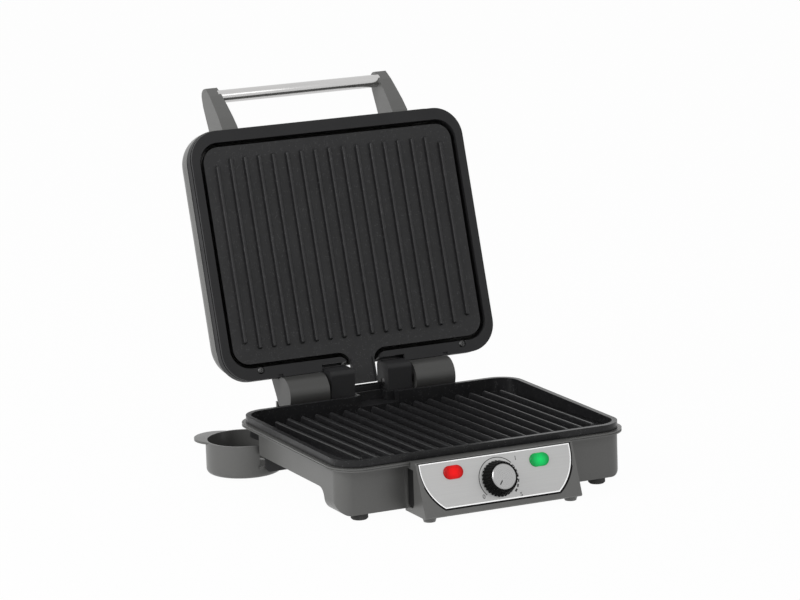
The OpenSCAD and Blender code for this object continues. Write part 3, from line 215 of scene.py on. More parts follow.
def grain_group():
    """Moulded or coated grain: fine noise as a height, slow noise as roughness and tone."""
    tree, src, out = new_group(
        "Moulded grain",
        [("Vector", "NodeSocketVector", None), ("Grain Scale", "NodeSocketFloat", 1800.0),
         ("Smudge Scale", "NodeSocketFloat", 22.0), ("Rough Low", "NodeSocketFloat", 0.3),
         ("Rough High", "NodeSocketFloat", 0.42)],
        SURFACE_OUTPUTS)
    fine = fill(put(tree, "ShaderNodeTexNoise"), Detail=2.0, Roughness=0.6)
    slow = fill(put(tree, "ShaderNodeTexNoise"), Detail=5.0, Roughness=0.6, Distortion=0.4)
    spread = put(tree, "ShaderNodeMapRange")
    fill(spread, From_Min=0.3, From_Max=0.7)
    add = put(tree, "ShaderNodeMath", operation="MULTIPLY_ADD")
    add.inputs[1].default_value = 0.25
    link(tree, src.outputs["Vector"], fine.inputs["Vector"])
    link(tree, src.outputs["Vector"], slow.inputs["Vector"])
    link(tree, src.outputs["Grain Scale"], fine.inputs["Scale"])
    link(tree, src.outputs["Smudge Scale"], slow.inputs["Scale"])
    link(tree, slow.outputs["Fac"], spread.inputs["Value"])
    link(tree, src.outputs["Rough Low"], spread.inputs["To Min"])
    link(tree, src.outputs["Rough High"], spread.inputs["To Max"])
    link(tree, slow.outputs["Fac"], add.inputs[0])
    link(tree, fine.outputs["Fac"], add.inputs[2])
    link(tree, fine.outputs["Fac"], out.inputs["Height"])
    link(tree, spread.outputs["Result"], out.inputs["Roughness"])
    link(tree, add.outputs["Value"], out.inputs["Tone"])
    return tree


def speck_group():
    """Small scattered specks, as in a flecked coating or a metallic moulding."""
    tree, src, out = new_group(
        "Specks",
        [("Vector", "NodeSocketVector", None), ("Scale", "NodeSocketFloat", 1500.0),
         ("Share", "NodeSocketFloat", 0.3)],
        [("Mask", "NodeSocketFloat")])
    cells = put(tree, "ShaderNodeTexVoronoi", feature="F1")
    cells.inputs["Randomness"].default_value = 1.0
    patch = fill(put(tree, "ShaderNodeTexNoise"), Detail=1.0)
    half = put(tree, "ShaderNodeMath", operation="MULTIPLY")
    half.inputs[1].default_value = 0.31
    near = put(tree, "ShaderNodeMapRange", clamp=True)
    fill(near, From_Max=0.0, To_Min=0.0, To_Max=1.0)
    some = put(tree, "ShaderNodeMapRange", clamp=True)
    fill(some, From_Min=0.5, From_Max=0.62)
    both = put(tree, "ShaderNodeMath", operation="MULTIPLY")
    link(tree, src.outputs["Vector"], cells.inputs["Vector"])
    link(tree, src.outputs["Vector"], patch.inputs["Vector"])
    link(tree, src.outputs["Scale"], cells.inputs["Scale"])
    link(tree, src.outputs["Scale"], half.inputs[0])
    link(tree, half.outputs["Value"], patch.inputs["Scale"])
    link(tree, cells.outputs["Distance"], near.inputs["Value"])
    link(tree, src.outputs["Share"], near.inputs["From Min"])
    link(tree, patch.outputs["Fac"], some.inputs["Value"])
    link(tree, near.outputs["Result"], both.inputs[0])
    link(tree, some.outputs["Result"], both.inputs[1])
    link(tree, both.outputs["Value"], out.inputs["Mask"])
    return tree


def streak_group():
    """Fine lines of a brushed or turned metal. The vector is already stretched along the lines."""
    tree, src, out = new_group(
        "Brush lines",
        [("Vector", "NodeSocketVector", None), ("Scale", "NodeSocketFloat", 1.0),
         ("Rough Low", "NodeSocketFloat", 0.25), ("Rough High", "NodeSocketFloat", 0.4)],
        SURFACE_OUTPUTS)
    lines = fill(put(tree, "ShaderNodeTexNoise"), Detail=4.0, Roughness=0.7)
    spread = put(tree, "ShaderNodeMapRange")
    fill(spread, From_Min=0.3, From_Max=0.7)
    tone = put(tree, "ShaderNodeMapRange")
    fill(tone, From_Min=0.25, From_Max=0.75, To_Min=0.0, To_Max=1.0)
    link(tree, src.outputs["Vector"], lines.inputs["Vector"])
    link(tree, src.outputs["Scale"], lines.inputs["Scale"])
    link(tree, lines.outputs["Fac"], spread.inputs["Value"])
    link(tree, src.outputs["Rough Low"], spread.inputs["To Min"])
    link(tree, src.outputs["Rough High"], spread.inputs["To Max"])
    link(tree, lines.outputs["Fac"], tone.inputs["Value"])
    link(tree, lines.outputs["Fac"], out.inputs["Height"])
    link(tree, spread.outputs["Result"], out.inputs["Roughness"])
    link(tree, tone.outputs["Result"], out.inputs["Tone"])
    return tree


GROUPS = {}


def group_node(tree, name, **values):
    makers = {"grain": grain_group, "specks": speck_group, "streaks": streak_group}
    if name not in GROUPS:
        GROUPS[name] = makers[name]()
    node = put(tree, "ShaderNodeGroup", node_tree=GROUPS[name])
    return fill(node, **values)


def bare_material(name):
    """A material with a Principled shader and object coordinates."""
    mat = bpy.data.materials.new(name)
    mat.use_nodes = True
    tree = mat.node_tree
    shader = tree.nodes["Principled BSDF"]
    coords = put(tree, "ShaderNodeTexCoord")
    return mat, tree, shader, coords.outputs["Object"]


def two_tone(tree, factor, low, high, target):
    mix = put(tree, "ShaderNodeMix", data_type="RGBA")
    mix.inputs[6].default_value = low
    mix.inputs[7].default_value = high
    link(tree, factor, mix.inputs[0])
    link(tree, mix.outputs[2], target)
    return mix


def bump_into(tree, height, shader, strength, distance):
    bump = fill(put(tree, "ShaderNodeBump"), Strength=strength, Distance=distance)
    link(tree, height, bump.inputs["Height"])
    link(tree, bump.outputs["Normal"], shader.inputs["Normal"])


def moulded(name, colour, rough=(0.3, 0.42), grain=1500.0, depth=0.02, metallic=0.0, fleck=0.0,
            coat=0.0, specular=0.4):
    """Moulded plastic: slight mottle, optional metal flecks, fine grain."""
    mat, tree, shader, where = bare_material(name)
    shader.inputs["Specular IOR Level"].default_value = specular
    shader.inputs["Metallic"].default_value = metallic
    shader.inputs["Coat Weight"].default_value = coat
    shader.inputs["Coat Roughness"].default_value = 0.12
    grain_node = group_node(tree, "grain", Grain_Scale=grain, Smudge_Scale=SMUDGE_SCALE,
                            Rough_Low=rough[0], Rough_High=rough[1])
    link(tree, where, grain_node.inputs["Vector"])
    link(tree, grain_node.outputs["Roughness"], shader.inputs["Roughness"])
    mix = two_tone(tree, grain_node.outputs["Tone"], rgba(colour, 1 - MOTTLE),
                   rgba(colour, 1 + MOTTLE), shader.inputs["Base Color"])
    if fleck:
        specks = group_node(tree, "specks", Scale=2600.0, Share=0.36)
        link(tree, where, specks.inputs["Vector"])
        over = put(tree, "ShaderNodeMix", data_type="RGBA")
        over.inputs[7].default_value = rgba(colour, 1 + fleck)
        link(tree, specks.outputs["Mask"], over.inputs[0])
        link(tree, mix.outputs[2], over.inputs[6])
        link(tree, over.outputs[2], shader.inputs["Base Color"])
    bump_into(tree, grain_node.outputs["Height"], shader, 0.5, depth * MM)
    return mat


def coated(name, colour, rough, depth, coat, specular):
    """Black non-stick coating with pale flecks and a pebbled skin."""
    mat, tree, shader, where = bare_material(name)
    shader.inputs["Specular IOR Level"].default_value = specular
    shader.inputs["Coat Weight"].default_value = coat
    shader.inputs["Coat Roughness"].default_value = 0.16
    grain_node = group_node(tree, "grain", Grain_Scale=1300.0, Smudge_Scale=30.0,
                            Rough_Low=rough[0], Rough_High=rough[1])
    specks = group_node(tree, "specks", Scale=900.0, Share=0.34)
    link(tree, where, grain_node.inputs["Vector"])
    link(tree, where, specks.inputs["Vector"])
    link(tree, grain_node.outputs["Roughness"], shader.inputs["Roughness"])
    mix = two_tone(tree, grain_node.outputs["Tone"], rgba(colour, 0.75), rgba(colour, 1.3),
                   shader.inputs["Base Color"])
    over = put(tree, "ShaderNodeMix", data_type="RGBA")
    over.inputs[7].default_value = (0.16, 0.16, 0.165, 1.0)
    link(tree, specks.outputs["Mask"], over.inputs[0])
    link(tree, mix.outputs[2], over.inputs[6])
    link(tree, over.outputs[2], shader.inputs["Base Color"])
    bump_into(tree, grain_node.outputs["Height"], shader, 0.55, depth * MM)
    return mat


def brushed(name, colour, stretch, rough=(0.26, 0.4), metallic=1.0, tone=0.14):
    """Brushed metal. stretch gives the noise scale along each axis, small along the lines."""
    mat, tree, shader, where = bare_material(name)
    shader.inputs["Metallic"].default_value = metallic
    mapping = put(tree, "ShaderNodeMapping")
    mapping.inputs["Scale"].default_value = stretch
    lines = group_node(tree, "streaks", Rough_Low=rough[0], Rough_High=rough[1])
    link(tree, where, mapping.inputs["Vector"])
    link(tree, mapping.outputs["Vector"], lines.inputs["Vector"])
    link(tree, lines.outputs["Roughness"], shader.inputs["Roughness"])
    two_tone(tree, lines.outputs["Tone"], rgba(colour, 1 - tone), rgba(colour, 1 + tone),
             shader.inputs["Base Color"])
    bump_into(tree, lines.outputs["Height"], shader, 0.35, BRUSH_DEPTH)
    return mat


def turned(name, colour, centre, tilt):
    """Face-turned metal: rings about an axis that goes through centre and is tilted about X."""
    mat, tree, shader, where = bare_material(name)
    shader.inputs["Metallic"].default_value = 1.0
    shift = put(tree, "ShaderNodeVectorMath", operation="SUBTRACT")
    shift.inputs[1].default_value = centre
    spin = put(tree, "ShaderNodeVectorRotate", rotation_type="X_AXIS")
    spin.inputs["Angle"].default_value = -tilt
    parts = put(tree, "ShaderNodeSeparateXYZ")
    flat = put(tree, "ShaderNodeCombineXYZ")
    size = put(tree, "ShaderNodeVectorMath", operation="LENGTH")
    ring = put(tree, "ShaderNodeCombineXYZ")
    lines = group_node(tree, "streaks", Scale=2600.0, Rough_Low=0.2, Rough_High=0.38)
    link(tree, where, shift.inputs[0])
    link(tree, shift.outputs["Vector"], spin.inputs["Vector"])
    link(tree, spin.outputs["Vector"], parts.inputs["Vector"])
    link(tree, parts.outputs["X"], flat.inputs["X"])
    link(tree, parts.outputs["Y"], flat.inputs["Y"])
    link(tree, flat.outputs["Vector"], size.inputs[0])
    link(tree, size.outputs["Value"], ring.inputs["X"])
    link(tree, ring.outputs["Vector"], lines.inputs["Vector"])
    link(tree, lines.outputs["Roughness"], shader.inputs["Roughness"])
    two_tone(tree, lines.outputs["Tone"], rgba(colour, 0.86), rgba(colour, 1.1),
             shader.inputs["Base Color"])
    bump_into(tree, lines.outputs["Height"], shader, 0.3, BRUSH_DEPTH)
    return mat


def lens(name, colour, centre):
    """Tinted translucent plastic with a bright core about centre and faint prisms."""
    mat, tree, shader, where = bare_material(name)
    shader.inputs["Roughness"].default_value = 0.2
    shader.inputs["Specular IOR Level"].default_value = 0.15
    shader.inputs["Coat Weight"].default_value = 0.12
    shader.inputs["Coat Roughness"].default_value = 0.04
    shader.inputs["Emission Strength"].default_value = LENS_GLOW
    mapping = put(tree, "ShaderNodeMapping")
    mapping.inputs["Scale"].default_value = (900.0, 260.0, 260.0)
    ribs = fill(put(tree, "ShaderNodeTexNoise"), Scale=1.0, Detail=2.0)
    link(tree, where, mapping.inputs["Vector"])
    link(tree, mapping.outputs["Vector"], ribs.inputs["Vector"])
    reach = put(tree, "ShaderNodeVectorMath", operation="DISTANCE")
    reach.inputs[1].default_value = centre
    link(tree, where, reach.inputs[0])
    core = fill(put(tree, "ShaderNodeMapRange"), From_Min=2.0 * MM, From_Max=9.5 * MM,
                To_Min=1.0, To_Max=0.0)
    link(tree, reach.outputs["Value"], core.inputs["Value"])
    both = put(tree, "ShaderNodeMath", operation="MULTIPLY_ADD")
    both.inputs[1].default_value = 0.35
    link(tree, ribs.outputs["Fac"], both.inputs[0])
    link(tree, core.outputs["Result"], both.inputs[2])
    two_tone(tree, both.outputs["Value"], rgba(colour, 0.3), rgba(colour, 1.1),
             shader.inputs["Base Color"])
    two_tone(tree, both.outputs["Value"], rgba(colour, 0.25), rgba(colour, 1.15),
             shader.inputs["Emission Color"])
    return mat


# Mesh helpers


def panel_matrix():
    """From the panel's own frame, in metres, to the object's frame."""
    return Matrix.Translation(PANEL_TOP) @ Matrix.Rotation(math.pi / 2 - PANEL_LEAN, 4, "X")


def finish_piece(name, bm, body, mat):
    """Turns a bmesh into a piece that rides on a body."""
    mesh = bpy.data.meshes.new(name)
    bmesh.ops.recalc_face_normals(bm, faces=bm.faces)
    bm.to_mesh(mesh)
    bm.free()
    piece = bpy.data.objects.new(name, mesh)
    SCENE.collection.objects.link(piece)
    mesh.materials.append(mat)
    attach(piece, body)
    return piece


def round_edges(bm, edges, offset, segments):
    bmesh.ops.bevel(bm, geom=edges, offset=offset, segments=segments, profile=0.5, affect="EDGES",
                    material=-1)


def thicken(bm, step):
    """Extrudes all faces of a flat mesh by step."""
    result = bmesh.ops.extrude_face_region(bm, geom=bm.faces[:])
    moved = [v for v in result["geom"] if isinstance(v, bmesh.types.BMVert)]
    bmesh.ops.translate(bm, vec=step, verts=moved)


def block(size):
    """A box about the origin, with its size in millimetres."""
    bm = bmesh.new()
    bmesh.ops.create_cube(bm, size=1.0)
    bmesh.ops.scale(bm, vec=[v * MM for v in size], verts=bm.verts)
    return bm


def span_x(edge):
    return abs(edge.verts[0].co.x - edge.verts[1].co.x)


def panel_outline(grow, rise):
    """The panel's outline in its own frame, in millimetres, grown by grow, at its top by rise."""
    half, height, radius, drop, steps = 77.4, 43.5, 47.6, 5.5, 24
    centre = half - radius
    reach = radius + grow
    low = math.asin((height + grow - drop) / reach)
    points = [(-half - grow, rise), (-half - grow, -drop)]
    for i in range(1, steps + 1):
        angle = low * i / steps
        points.append((-centre - reach * math.cos(angle), -drop - reach * math.sin(angle)))
    return points + [(-x, y) for x, y in reversed(points)]


def arc_strip(bm, radius, width, height, start, sweep, steps):
    """A strip on an arc about the origin: a section spun clockwise from start, in degrees."""
    a = math.radians(start)
    mid = Vector((math.cos(a), math.sin(a), 0))
    half = width / 2
    section = [mid * (radius - half), mid * (radius + half)]
    corners = [bm.verts.new(section[0]), bm.verts.new(section[1]),
               bm.verts.new(section[1] + Vector((0, 0, height))),
               bm.verts.new(section[0] + Vector((0, 0, height)))]
    face = bm.faces.new(corners)
    bmesh.ops.spin(bm, geom=[face], cent=(0, 0, 0), axis=(0, 0, 1),
                   angle=-math.radians(sweep), steps=steps, use_duplicate=False)


def figure_mesh(text):
    """A plain figure as a thin raised mesh about its own middle."""
    curve = bpy.data.curves.new("figure", "FONT")
    curve.body = text
    curve.size = FIGURE_SIZE
    curve.extrude = PRINT_HEIGHT / 2
    curve.align_x = "CENTER"
    curve.align_y = "CENTER"
    holder = bpy.data.objects.new("figure", curve)
    SCENE.collection.objects.link(holder)
    bpy.context.view_layer.update()
    graph = bpy.context.evaluated_depsgraph_get()
    mesh = bpy.data.meshes.new_from_object(holder.evaluated_get(graph))
    bpy.data.objects.remove(holder)
    bpy.data.curves.remove(curve)
    return mesh


def dress(names, mat):
    """Gives CAD nodes a material in every slot."""
    for name in names:
        data = frame["nodes"][name].data
        if not data.materials:
            data.materials.append(mat)
        for i in range(len(data.materials)):
            data.materials[i] = mat


# Operators


class GRILL_OT_mouldings(bpy.types.Operator):
    """Finish of the plastic, rubber and ceramic parts"""

    bl_idname = "grill.mouldings"
    bl_label = "Mouldings"

    def execute(self, context):
        look = context.scene.grill_finish
        # The hinge arms and caps take the housing colour darkened by this share: painted shade for
        # the shadow that falls on them.
        hinge_shade_share = 0.55
        dress(["base_housing", "base_flange", "control_box", "lid_shell", "handle_arm_left",
               "handle_arm_right", "drip_cup"],
              moulded("Gunmetal moulding", look.housing, rough=(0.30, 0.40), grain=1700.0,
                      depth=0.010, metallic=0.25, fleck=0.5, coat=0.06))
        dress(["hinge_arm_left", "hinge_arm_right", "hinge_cap_left", "hinge_cap_right"],
              moulded("Gunmetal moulding with painted shade", [hinge_shade_share * v for v in look.housing],
                      rough=(0.34, 0.44), grain=1700.0, depth=0.010, metallic=0.25, fleck=0.5,
                      specular=0.35))
        dress(["lid_frame", "hinge_post_left", "hinge_post_right"],
              moulded("Grained black moulding", look.frame, rough=(0.5, 0.62), grain=900.0,
                      depth=0.05, fleck=0.6, specular=0.25))
        dress(["base_bottom_cover"],
              moulded("Bottom cover moulding", (0.03, 0.03, 0.031), rough=(0.5, 0.65),
                      grain=700.0, depth=0.04))
        dress(["front_feet", "rear_feet", "cord_inlet_bush"],
              moulded("Foot rubber", (0.05, 0.05, 0.049), rough=(0.7, 0.85), grain=1100.0,
                      depth=0.05))
        dress(["lamp_holders"], moulded("White moulding", (0.75, 0.75, 0.72), rough=(0.4, 0.5)))
        dress(["thermostat_body", "terminal_block", "thermal_fuse"],
              moulded("Bare ceramic", (0.66, 0.61, 0.52), rough=(0.6, 0.8), grain=800.0,
                      depth=0.03))
        return {"FINISHED"}


class GRILL_OT_plates(bpy.types.Operator):
    """Non-stick coating of the two ribbed plates"""

    bl_idname = "grill.plates"
    bl_label = "Plates"

    def execute(self, context):
        look = context.scene.grill_finish
        dress(["upper_plate"],
              coated("Upper coating", look.coating, (0.42, 0.56), 0.05, coat=0.05, specular=0.3))
        dress(["lower_plate", "drain_spout"],
              coated("Lower coating", look.coating, (0.3, 0.4), 0.03, coat=0.12, specular=0.2))
        return {"FINISHED"}


class GRILL_OT_metals(bpy.types.Operator):
    """Finish of the panel, the knob, the pins, the screws and the hidden metal parts"""

    bl_idname = "grill.metals"
    bl_label = "Metals"

    def execute(self, context):
        look = context.scene.grill_finish
        dial = context.scene.grill_dial
        centre = panel_matrix() @ Vector((0, -dial.drop, 0))
        dress(["control_panel"],
              brushed("Brushed panel", look.panel, (14.0, 2400.0, 2400.0), metallic=0.6,
                      rough=(0.34, 0.46), tone=0.07))
        dress(["knob_skirt"],
              moulded("Knob black", (0.006, 0.006, 0.006), rough=(0.22, 0.32), grain=900.0,
                      depth=0.004, specular=0.06))
        dress(["knob_cap"],
              turned("Turned cap", (0.37, 0.37, 0.37), centre, math.pi / 2 - PANEL_LEAN))
        dress(["thermostat_shaft", "thermostat_bracket", "lower_element_clamps",
               "upper_element_clamps", "bottom_cover_screws", "handle_screws"],
              brushed("Zinc plate", (0.52, 0.52, 0.50), (600.0, 600.0, 600.0), rough=(0.3, 0.5)))
        dress(["lid_screws", "hinge_pin_left", "hinge_pin_right"],
              brushed("Blackened steel", (0.07, 0.07, 0.07), (700.0, 700.0, 700.0),
                      rough=(0.3, 0.45)))
        dress(["lower_heating_element", "upper_heating_element"],
              brushed("Heater sheath", (0.22, 0.21, 0.20), (900.0, 120.0, 900.0),
                      rough=(0.4, 0.6)))
        dress(["lower_heat_shield", "upper_heat_shield"],
              brushed("Mill sheet", (0.55, 0.55, 0.55), (20.0, 1200.0, 1200.0),
                      rough=(0.3, 0.45)))
        return {"FINISHED"}


class GRILL_OT_lamps(bpy.types.Operator):
    """Tinted lenses of the two lamps"""

    bl_idname = "grill.lamps"
    bl_label = "Lamps"

    def execute(self, context):
        look = context.scene.grill_finish
        for node, name, colour in (("power_lamp_lens", "Red lens", look.red),
                                   ("ready_lamp_lens", "Green lens", look.green)):
            low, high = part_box(node)
            dress([node], lens(name, colour, (Vector(low) + Vector(high)) / 2))
        return {"FINISHED"}


class GRILL_OT_cup_wall(bpy.types.Operator):
    """High rear wall of the drip cup, on top of its low wall"""

    bl_idname = "grill.cup_wall"
    bl_label = "Cup wall"

    def execute(self, context):
        cup = context.scene.grill_cup
        bm = bmesh.new()
        start = math.degrees(math.acos(cup.cut / cup.radius))
        end = 2.0
        arc_strip(bm, cup.radius - cup.wall / 2, cup.wall, cup.top - cup.low, start, start - end,
                  steps=60)
        bmesh.ops.translate(bm, vec=(cup.middle[0], cup.middle[1], cup.low), verts=bm.verts)
        housing = frame["nodes"]["drip_cup"].data.materials[0]
        finish_piece("cup_rear_wall", bm, "cup", housing)
        return {"FINISHED"}


class GRILL_OT_dial(bpy.types.Operator):
    """Printed arc, dashes and plain figures round the knob, and the ink in its pointer groove"""

    bl_idname = "grill.dial"
    bl_label = "Dial marks"

    def execute(self, context):
        dial = context.scene.grill_dial
        place = panel_matrix() @ Matrix.Translation((0, -dial.drop, PRINT_LIFT))
        ink = moulded("Dial ink", (0.02, 0.02, 0.02), rough=(0.4, 0.5), depth=0.002)
        bm = bmesh.new()
        # thin arc from the zero mark over the top, clockwise
        zero, sweep = 222.0, 181.0
        arc_strip(bm, dial.radius, dial.line, PRINT_HEIGHT, zero, sweep, steps=90)
        # dashes that grow wider, clockwise
        first, pitch, length = 34.0, 14.0, 8.5
        narrow, growth, inset = 0.6, 1.1, 0.2 * MM
        for i in range(dial.dashes):
            width = (narrow + growth * (i / (dial.dashes - 1))) * MM
            arc_strip(bm, dial.radius - inset, width, PRINT_HEIGHT, first - i * pitch, length,
                      steps=6)
        bmesh.ops.transform(bm, matrix=place, verts=bm.verts)
        finish_piece("dial_marks", bm, "base", ink)

        bm = bmesh.new()
        for text, x, y in FIGURES:
            mesh = figure_mesh(text)
            mesh.transform(place @ Matrix.Translation((x * MM, y * MM, PRINT_HEIGHT / 2)))
            bm.from_mesh(mesh)
            bpy.data.meshes.remove(mesh)
        finish_piece("dial_figures", bm, "base", ink)

        # ink in the pointer groove, which points to the zero mark
        out, level, angle = 6.8, 12.42, 231.0
        bm = block((4.5, 1.1, 0.36))
        round_edges(bm, bm.edges[:], 0.12 * MM, 2)
        bmesh.ops.translate(bm, vec=(out * MM, 0, level * MM), verts=bm.verts)
        turn = (panel_matrix() @ Matrix.Translation((0, -dial.drop, 0))
                @ Matrix.Rotation(math.radians(angle), 4, "Z"))
        bmesh.ops.transform(bm, matrix=turn, verts=bm.verts)
        finish_piece("pointer_ink", bm, "knob", ink)
        return {"FINISHED"}


class GRILL_OT_recess_shade(bpy.types.Operator):
    """Black sheets of painted shade in the grip recesses at the ends of the control box"""

    bl_idname = "grill.recess_pads"
    bl_label = "Recess shade"

    def execute(self, context):
        # Thin near-black sheets line the recesses: painted shade for the shadow that falls in
        # them.
        shade_sheet = moulded("Painted recess shade", (0.012, 0.012, 0.012), rough=(0.5, 0.6), grain=800.0,
                      depth=0.03, specular=0.15)
        across, along, up = RECESS_SHADE_PLACE
        outside = (across + RECESS_SHADE_SIZE[0] / 2 - 0.1) * MM
        for name, side in (("recess_shade_left", -1), ("recess_shade_right", 1)):
            bm = block(RECESS_SHADE_SIZE)
            bmesh.ops.translate(bm, vec=(side * across * MM, along * MM, up * MM), verts=bm.verts)
            foot = [e for e in bm.edges if span_x(e) > 1.0 * MM and e.verts[0].co.z < up * MM]
            round_edges(bm, foot, 4.7 * MM, 10)
            rim = [e for e in bm.edges if all(abs(v.co.x) > outside for v in e.verts)]
            round_edges(bm, rim, 0.5 * MM, 3)
            finish_piece(name, bm, "base", shade_sheet)
        return {"FINISHED"}


class GRILL_OT_post_bridge(bpy.types.Operator):
    """Low crowned web between the feet of the two hinge posts"""

    bl_idname = "grill.post_bridge"
    bl_label = "Post bridge"

    def execute(self, context):
        bm = bmesh.new()
        bm.faces.new([bm.verts.new((-BRIDGE_HALF * MM, y * MM, z * MM))
                      for y, z in BRIDGE_SECTION])
        thicken(bm, (2 * BRIDGE_HALF * MM, 0, 0))
        ridges = [e for e in bm.edges if span_x(e) > BRIDGE_HALF * MM]
        round_edges(bm, ridges, 0.8 * MM, 3)
        grained = frame["nodes"]["hinge_post_left"].data.materials[0]
        finish_piece("post_bridge", bm, "base", grained)
        return {"FINISHED"}


class GRILL_OT_handle_tube(bpy.types.Operator):
    """Brushed tube between the handle's arms, a little thicker than its solid"""

    bl_idname = "grill.handle_tube"
    bl_label = "Handle tube"

    def execute(self, context):
        radius = context.scene.grill_tube.radius
        low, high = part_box("handle_bar")
        middle = (Vector(low) + Vector(high)) / 2
        steel = brushed("Handle tube", (0.56, 0.555, 0.55), (30.0, 1900.0, 1900.0),
                        rough=(0.14, 0.24), tone=0.08)
        bm = bmesh.new()
        bmesh.ops.create_cone(bm, cap_ends=True, segments=96, radius1=radius, radius2=radius,
                              depth=high[0] - low[0])
        rims = [e for e in bm.edges if abs(e.verts[0].co.z - e.verts[1].co.z) < 0.1 * MM]
        round_edges(bm, rims, 0.6 * MM, 3)
        bmesh.ops.rotate(bm, cent=(0, 0, 0), matrix=Matrix.Rotation(math.pi / 2, 3, "Y"),
                         verts=bm.verts)
        bmesh.ops.translate(bm, vec=middle, verts=bm.verts)
        piece = finish_piece("handle_tube", bm, "lid", steel)
        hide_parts("handle_bar")
        # smooth round the tube, flat on its two end faces
        for face in piece.data.polygons:
            face.use_smooth = len(face.vertices) < 5
        return {"FINISHED"}


class GRILL_OT_panel_edge(bpy.types.Operator):
    """Bright rim of the panel, and a black ring of painted shade in the gap round it"""

    bl_idname = "grill.panel_edge"
    bl_label = "Panel edge"

    def execute(self, context):
        bright = brushed("Bright edge", (0.93, 0.93, 0.93), (300.0, 300.0, 300.0),
                         rough=(0.1, 0.2), tone=0.04)
        # The near-black ring in the gap round the panel is painted shade for the shadow inside
        # that gap.
        gap_shade = moulded("Painted gap shade", (0.008, 0.008, 0.008), rough=(0.6, 0.7), specular=0.06)
        # outer and inner outline as growth and rise, lowest and highest level, in millimetres
        strips = (
            ("panel_bright_edge", (-0.02, -0.02), (-1.15, -1.0), 0.0, 0.3, "panel_metal", bright),
            ("panel_gap_shade", (1.7, 0.55), (0.06, 0.04), -0.9, 0.82, "knob_plastic", gap_shade))
        for name, outer, inner, low, high, slot, mat in strips:
            bm = bmesh.new()
            edges = []
            for grow, rise in (outer, inner):
                loop = [bm.verts.new((x * MM, y * MM, low * MM))
                        for x, y in panel_outline(grow, rise)]
                edges += [bm.edges.new((loop[k - 1], loop[k])) for k in range(len(loop))]
            bmesh.ops.bridge_loops(bm, edges=edges)
            thicken(bm, (0, 0, (high - low) * MM))
            bmesh.ops.transform(bm, matrix=panel_matrix(), verts=bm.verts)
            finish_piece(name, bm, "base", mat)
        return {"FINISHED"}


def soft_lamp(name, place, size, power):
    """A rectangular lamp that is aimed at the object."""
    data = bpy.data.lights.new(name, "AREA")
    data.shape = "RECTANGLE"
    data.size, data.size_y = size
    data.energy = power
    lamp = bpy.data.objects.new(name, data)
    lamp.location = place
    aim = Vector((0, 0, 0.1)) - Vector(place)
    lamp.rotation_euler = aim.to_track_quat("-Z", "Y").to_euler()
    SCENE.collection.objects.link(lamp)


def seen_directly(tree):
    """1 for camera, glossy and transmission rays."""
    path = put(tree, "ShaderNodeLightPath")
    first = put(tree, "ShaderNodeMath", operation="MAXIMUM")
    second = put(tree, "ShaderNodeMath", operation="MAXIMUM")
    link(tree, path.outputs["Is Camera Ray"], first.inputs[0])
    link(tree, path.outputs["Is Glossy Ray"], first.inputs[1])
    link(tree, first.outputs["Value"], second.inputs[0])
    link(tree, path.outputs["Is Transmission Ray"], second.inputs[1])
    return second.outputs["Value"]


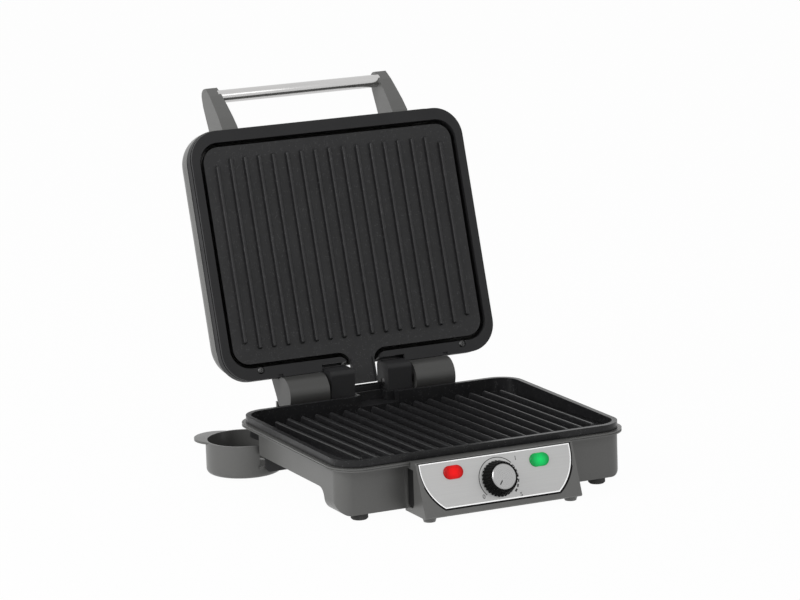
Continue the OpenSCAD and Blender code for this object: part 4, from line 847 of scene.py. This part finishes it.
class GRILL_OT_stage(bpy.types.Operator):
    """Pale floor, soft studio light and the camera"""

    bl_idname = "grill.stage"
    bl_label = "Studio"

    def execute(self, context):
        studio = context.scene.grill_stage
        SCENE.view_settings.view_transform = "Standard"

        bm = bmesh.new()
        bmesh.ops.create_grid(bm, x_segments=2, y_segments=2, size=FLOOR_HALF)
        mesh = bpy.data.meshes.new("floor")
        bm.to_mesh(mesh)
        bm.free()
        floor = bpy.data.objects.new("floor", mesh)
        SCENE.collection.objects.link(floor)
        mat = bpy.data.materials.new("Pale floor")
        mat.use_nodes = True
        tree = mat.node_tree
        tree.nodes.remove(tree.nodes["Principled BSDF"])
        cloth = fill(put(tree, "ShaderNodeBsdfDiffuse"), Color=rgba((1, 1, 1), FLOOR_TONE))
        glow = fill(put(tree, "ShaderNodeEmission"), Color=(1, 1, 1, 1), Strength=1.0)
        mix = put(tree, "ShaderNodeMixShader")
        share = put(tree, "ShaderNodeMath", operation="MULTIPLY")
        share.inputs[1].default_value = FLOOR_WHITE
        link(tree, seen_directly(tree), share.inputs[0])
        link(tree, share.outputs["Value"], mix.inputs[0])
        link(tree, cloth.outputs["BSDF"], mix.inputs[1])
        link(tree, glow.outputs["Emission"], mix.inputs[2])
        link(tree, mix.outputs["Shader"], tree.nodes["Material Output"].inputs["Surface"])
        mesh.materials.append(mat)

        world = bpy.data.worlds.new("Studio")
        SCENE.world = world
        world.use_nodes = True
        tree = world.node_tree
        back = tree.nodes["Background"]
        back.inputs["Color"].default_value = (1, 1, 1, 1)
        level = put(tree, "ShaderNodeMapRange")
        level.inputs["To Min"].default_value = studio.sky
        level.inputs["To Max"].default_value = 1.0
        link(tree, seen_directly(tree), level.inputs["Value"])
        link(tree, level.outputs["Result"], back.inputs["Strength"])

        soft_lamp("Key", (-2.2, -0.3, 1.3), (1.6, 1.6), studio.key)
        soft_lamp("Front", (0.3, -2.6, 1.9), (1.6, 1.0), studio.key * FRONT_SHARE)

        data = bpy.data.cameras.new("Camera")
        data.sensor_width = 36.0
        data.lens = studio.lens
        data.clip_start = 0.05
        data.clip_end = 60.0
        az, el, roll = studio.azimuth, studio.elevation, studio.roll
        ahead = Vector((math.sin(az) * math.cos(el), math.cos(az) * math.cos(el), -math.sin(el)))
        right = Vector((math.cos(az), -math.sin(az), 0))
        up = right.cross(ahead)
        right2 = math.cos(roll) * right + math.sin(roll) * up
        up2 = -math.sin(roll) * right + math.cos(roll) * up
        turn = Matrix((right2, up2, -ahead)).transposed()
        camera = bpy.data.objects.new("Camera", data)
        camera.matrix_world = Matrix.Translation(Vector(studio.eye)) @ turn.to_4x4()
        SCENE.collection.objects.link(camera)
        SCENE.camera = camera
        return {"FINISHED"}


class GRILL_PT_panel(bpy.types.Panel):
    """Buttons for each piece of the grill and its studio"""

    bl_label = "Contact grill"
    bl_idname = "GRILL_PT_panel"
    bl_space_type = "VIEW_3D"
    bl_region_type = "UI"
    bl_category = "Grill"

    def draw(self, context):
        for group in SETTINGS:
            settings = getattr(context.scene, group)
            for name in settings.__annotations__:
                self.layout.prop(settings, name)
        for step in STEPS:
            self.layout.operator(step.bl_idname)


SETTINGS = {
    "grill_finish": GrillFinishSettings,
    "grill_dial": GrillDialSettings,
    "grill_cup": GrillCupSettings,
    "grill_tube": GrillTubeSettings,
    "grill_stage": GrillStageSettings,
}
STEPS = [GRILL_OT_stage, GRILL_OT_mouldings, GRILL_OT_plates, GRILL_OT_metals, GRILL_OT_lamps,
         GRILL_OT_cup_wall, GRILL_OT_dial, GRILL_OT_panel_edge, GRILL_OT_recess_shade,
         GRILL_OT_post_bridge, GRILL_OT_handle_tube]


def register():
    for name, group in SETTINGS.items():
        bpy.utils.register_class(group)
        setattr(bpy.types.Scene, name, PointerProperty(type=group))
    for step in STEPS:
        bpy.utils.register_class(step)
    bpy.utils.register_class(GRILL_PT_panel)


def unregister():
    bpy.utils.unregister_class(GRILL_PT_panel)
    for step in reversed(STEPS):
        bpy.utils.unregister_class(step)
    for name, group in SETTINGS.items():
        delattr(bpy.types.Scene, name)
        bpy.utils.unregister_class(group)


def main():
    register()
    bpy.ops.grill.stage()
    bpy.ops.grill.mouldings()
    bpy.ops.grill.plates()
    bpy.ops.grill.metals()
    bpy.ops.grill.lamps()
    bpy.ops.grill.cup_wall()
    bpy.ops.grill.dial()
    bpy.ops.grill.panel_edge()
    bpy.ops.grill.recess_pads()
    bpy.ops.grill.post_bridge()
    bpy.ops.grill.handle_tube()


if __name__ == "__main__":
    main()
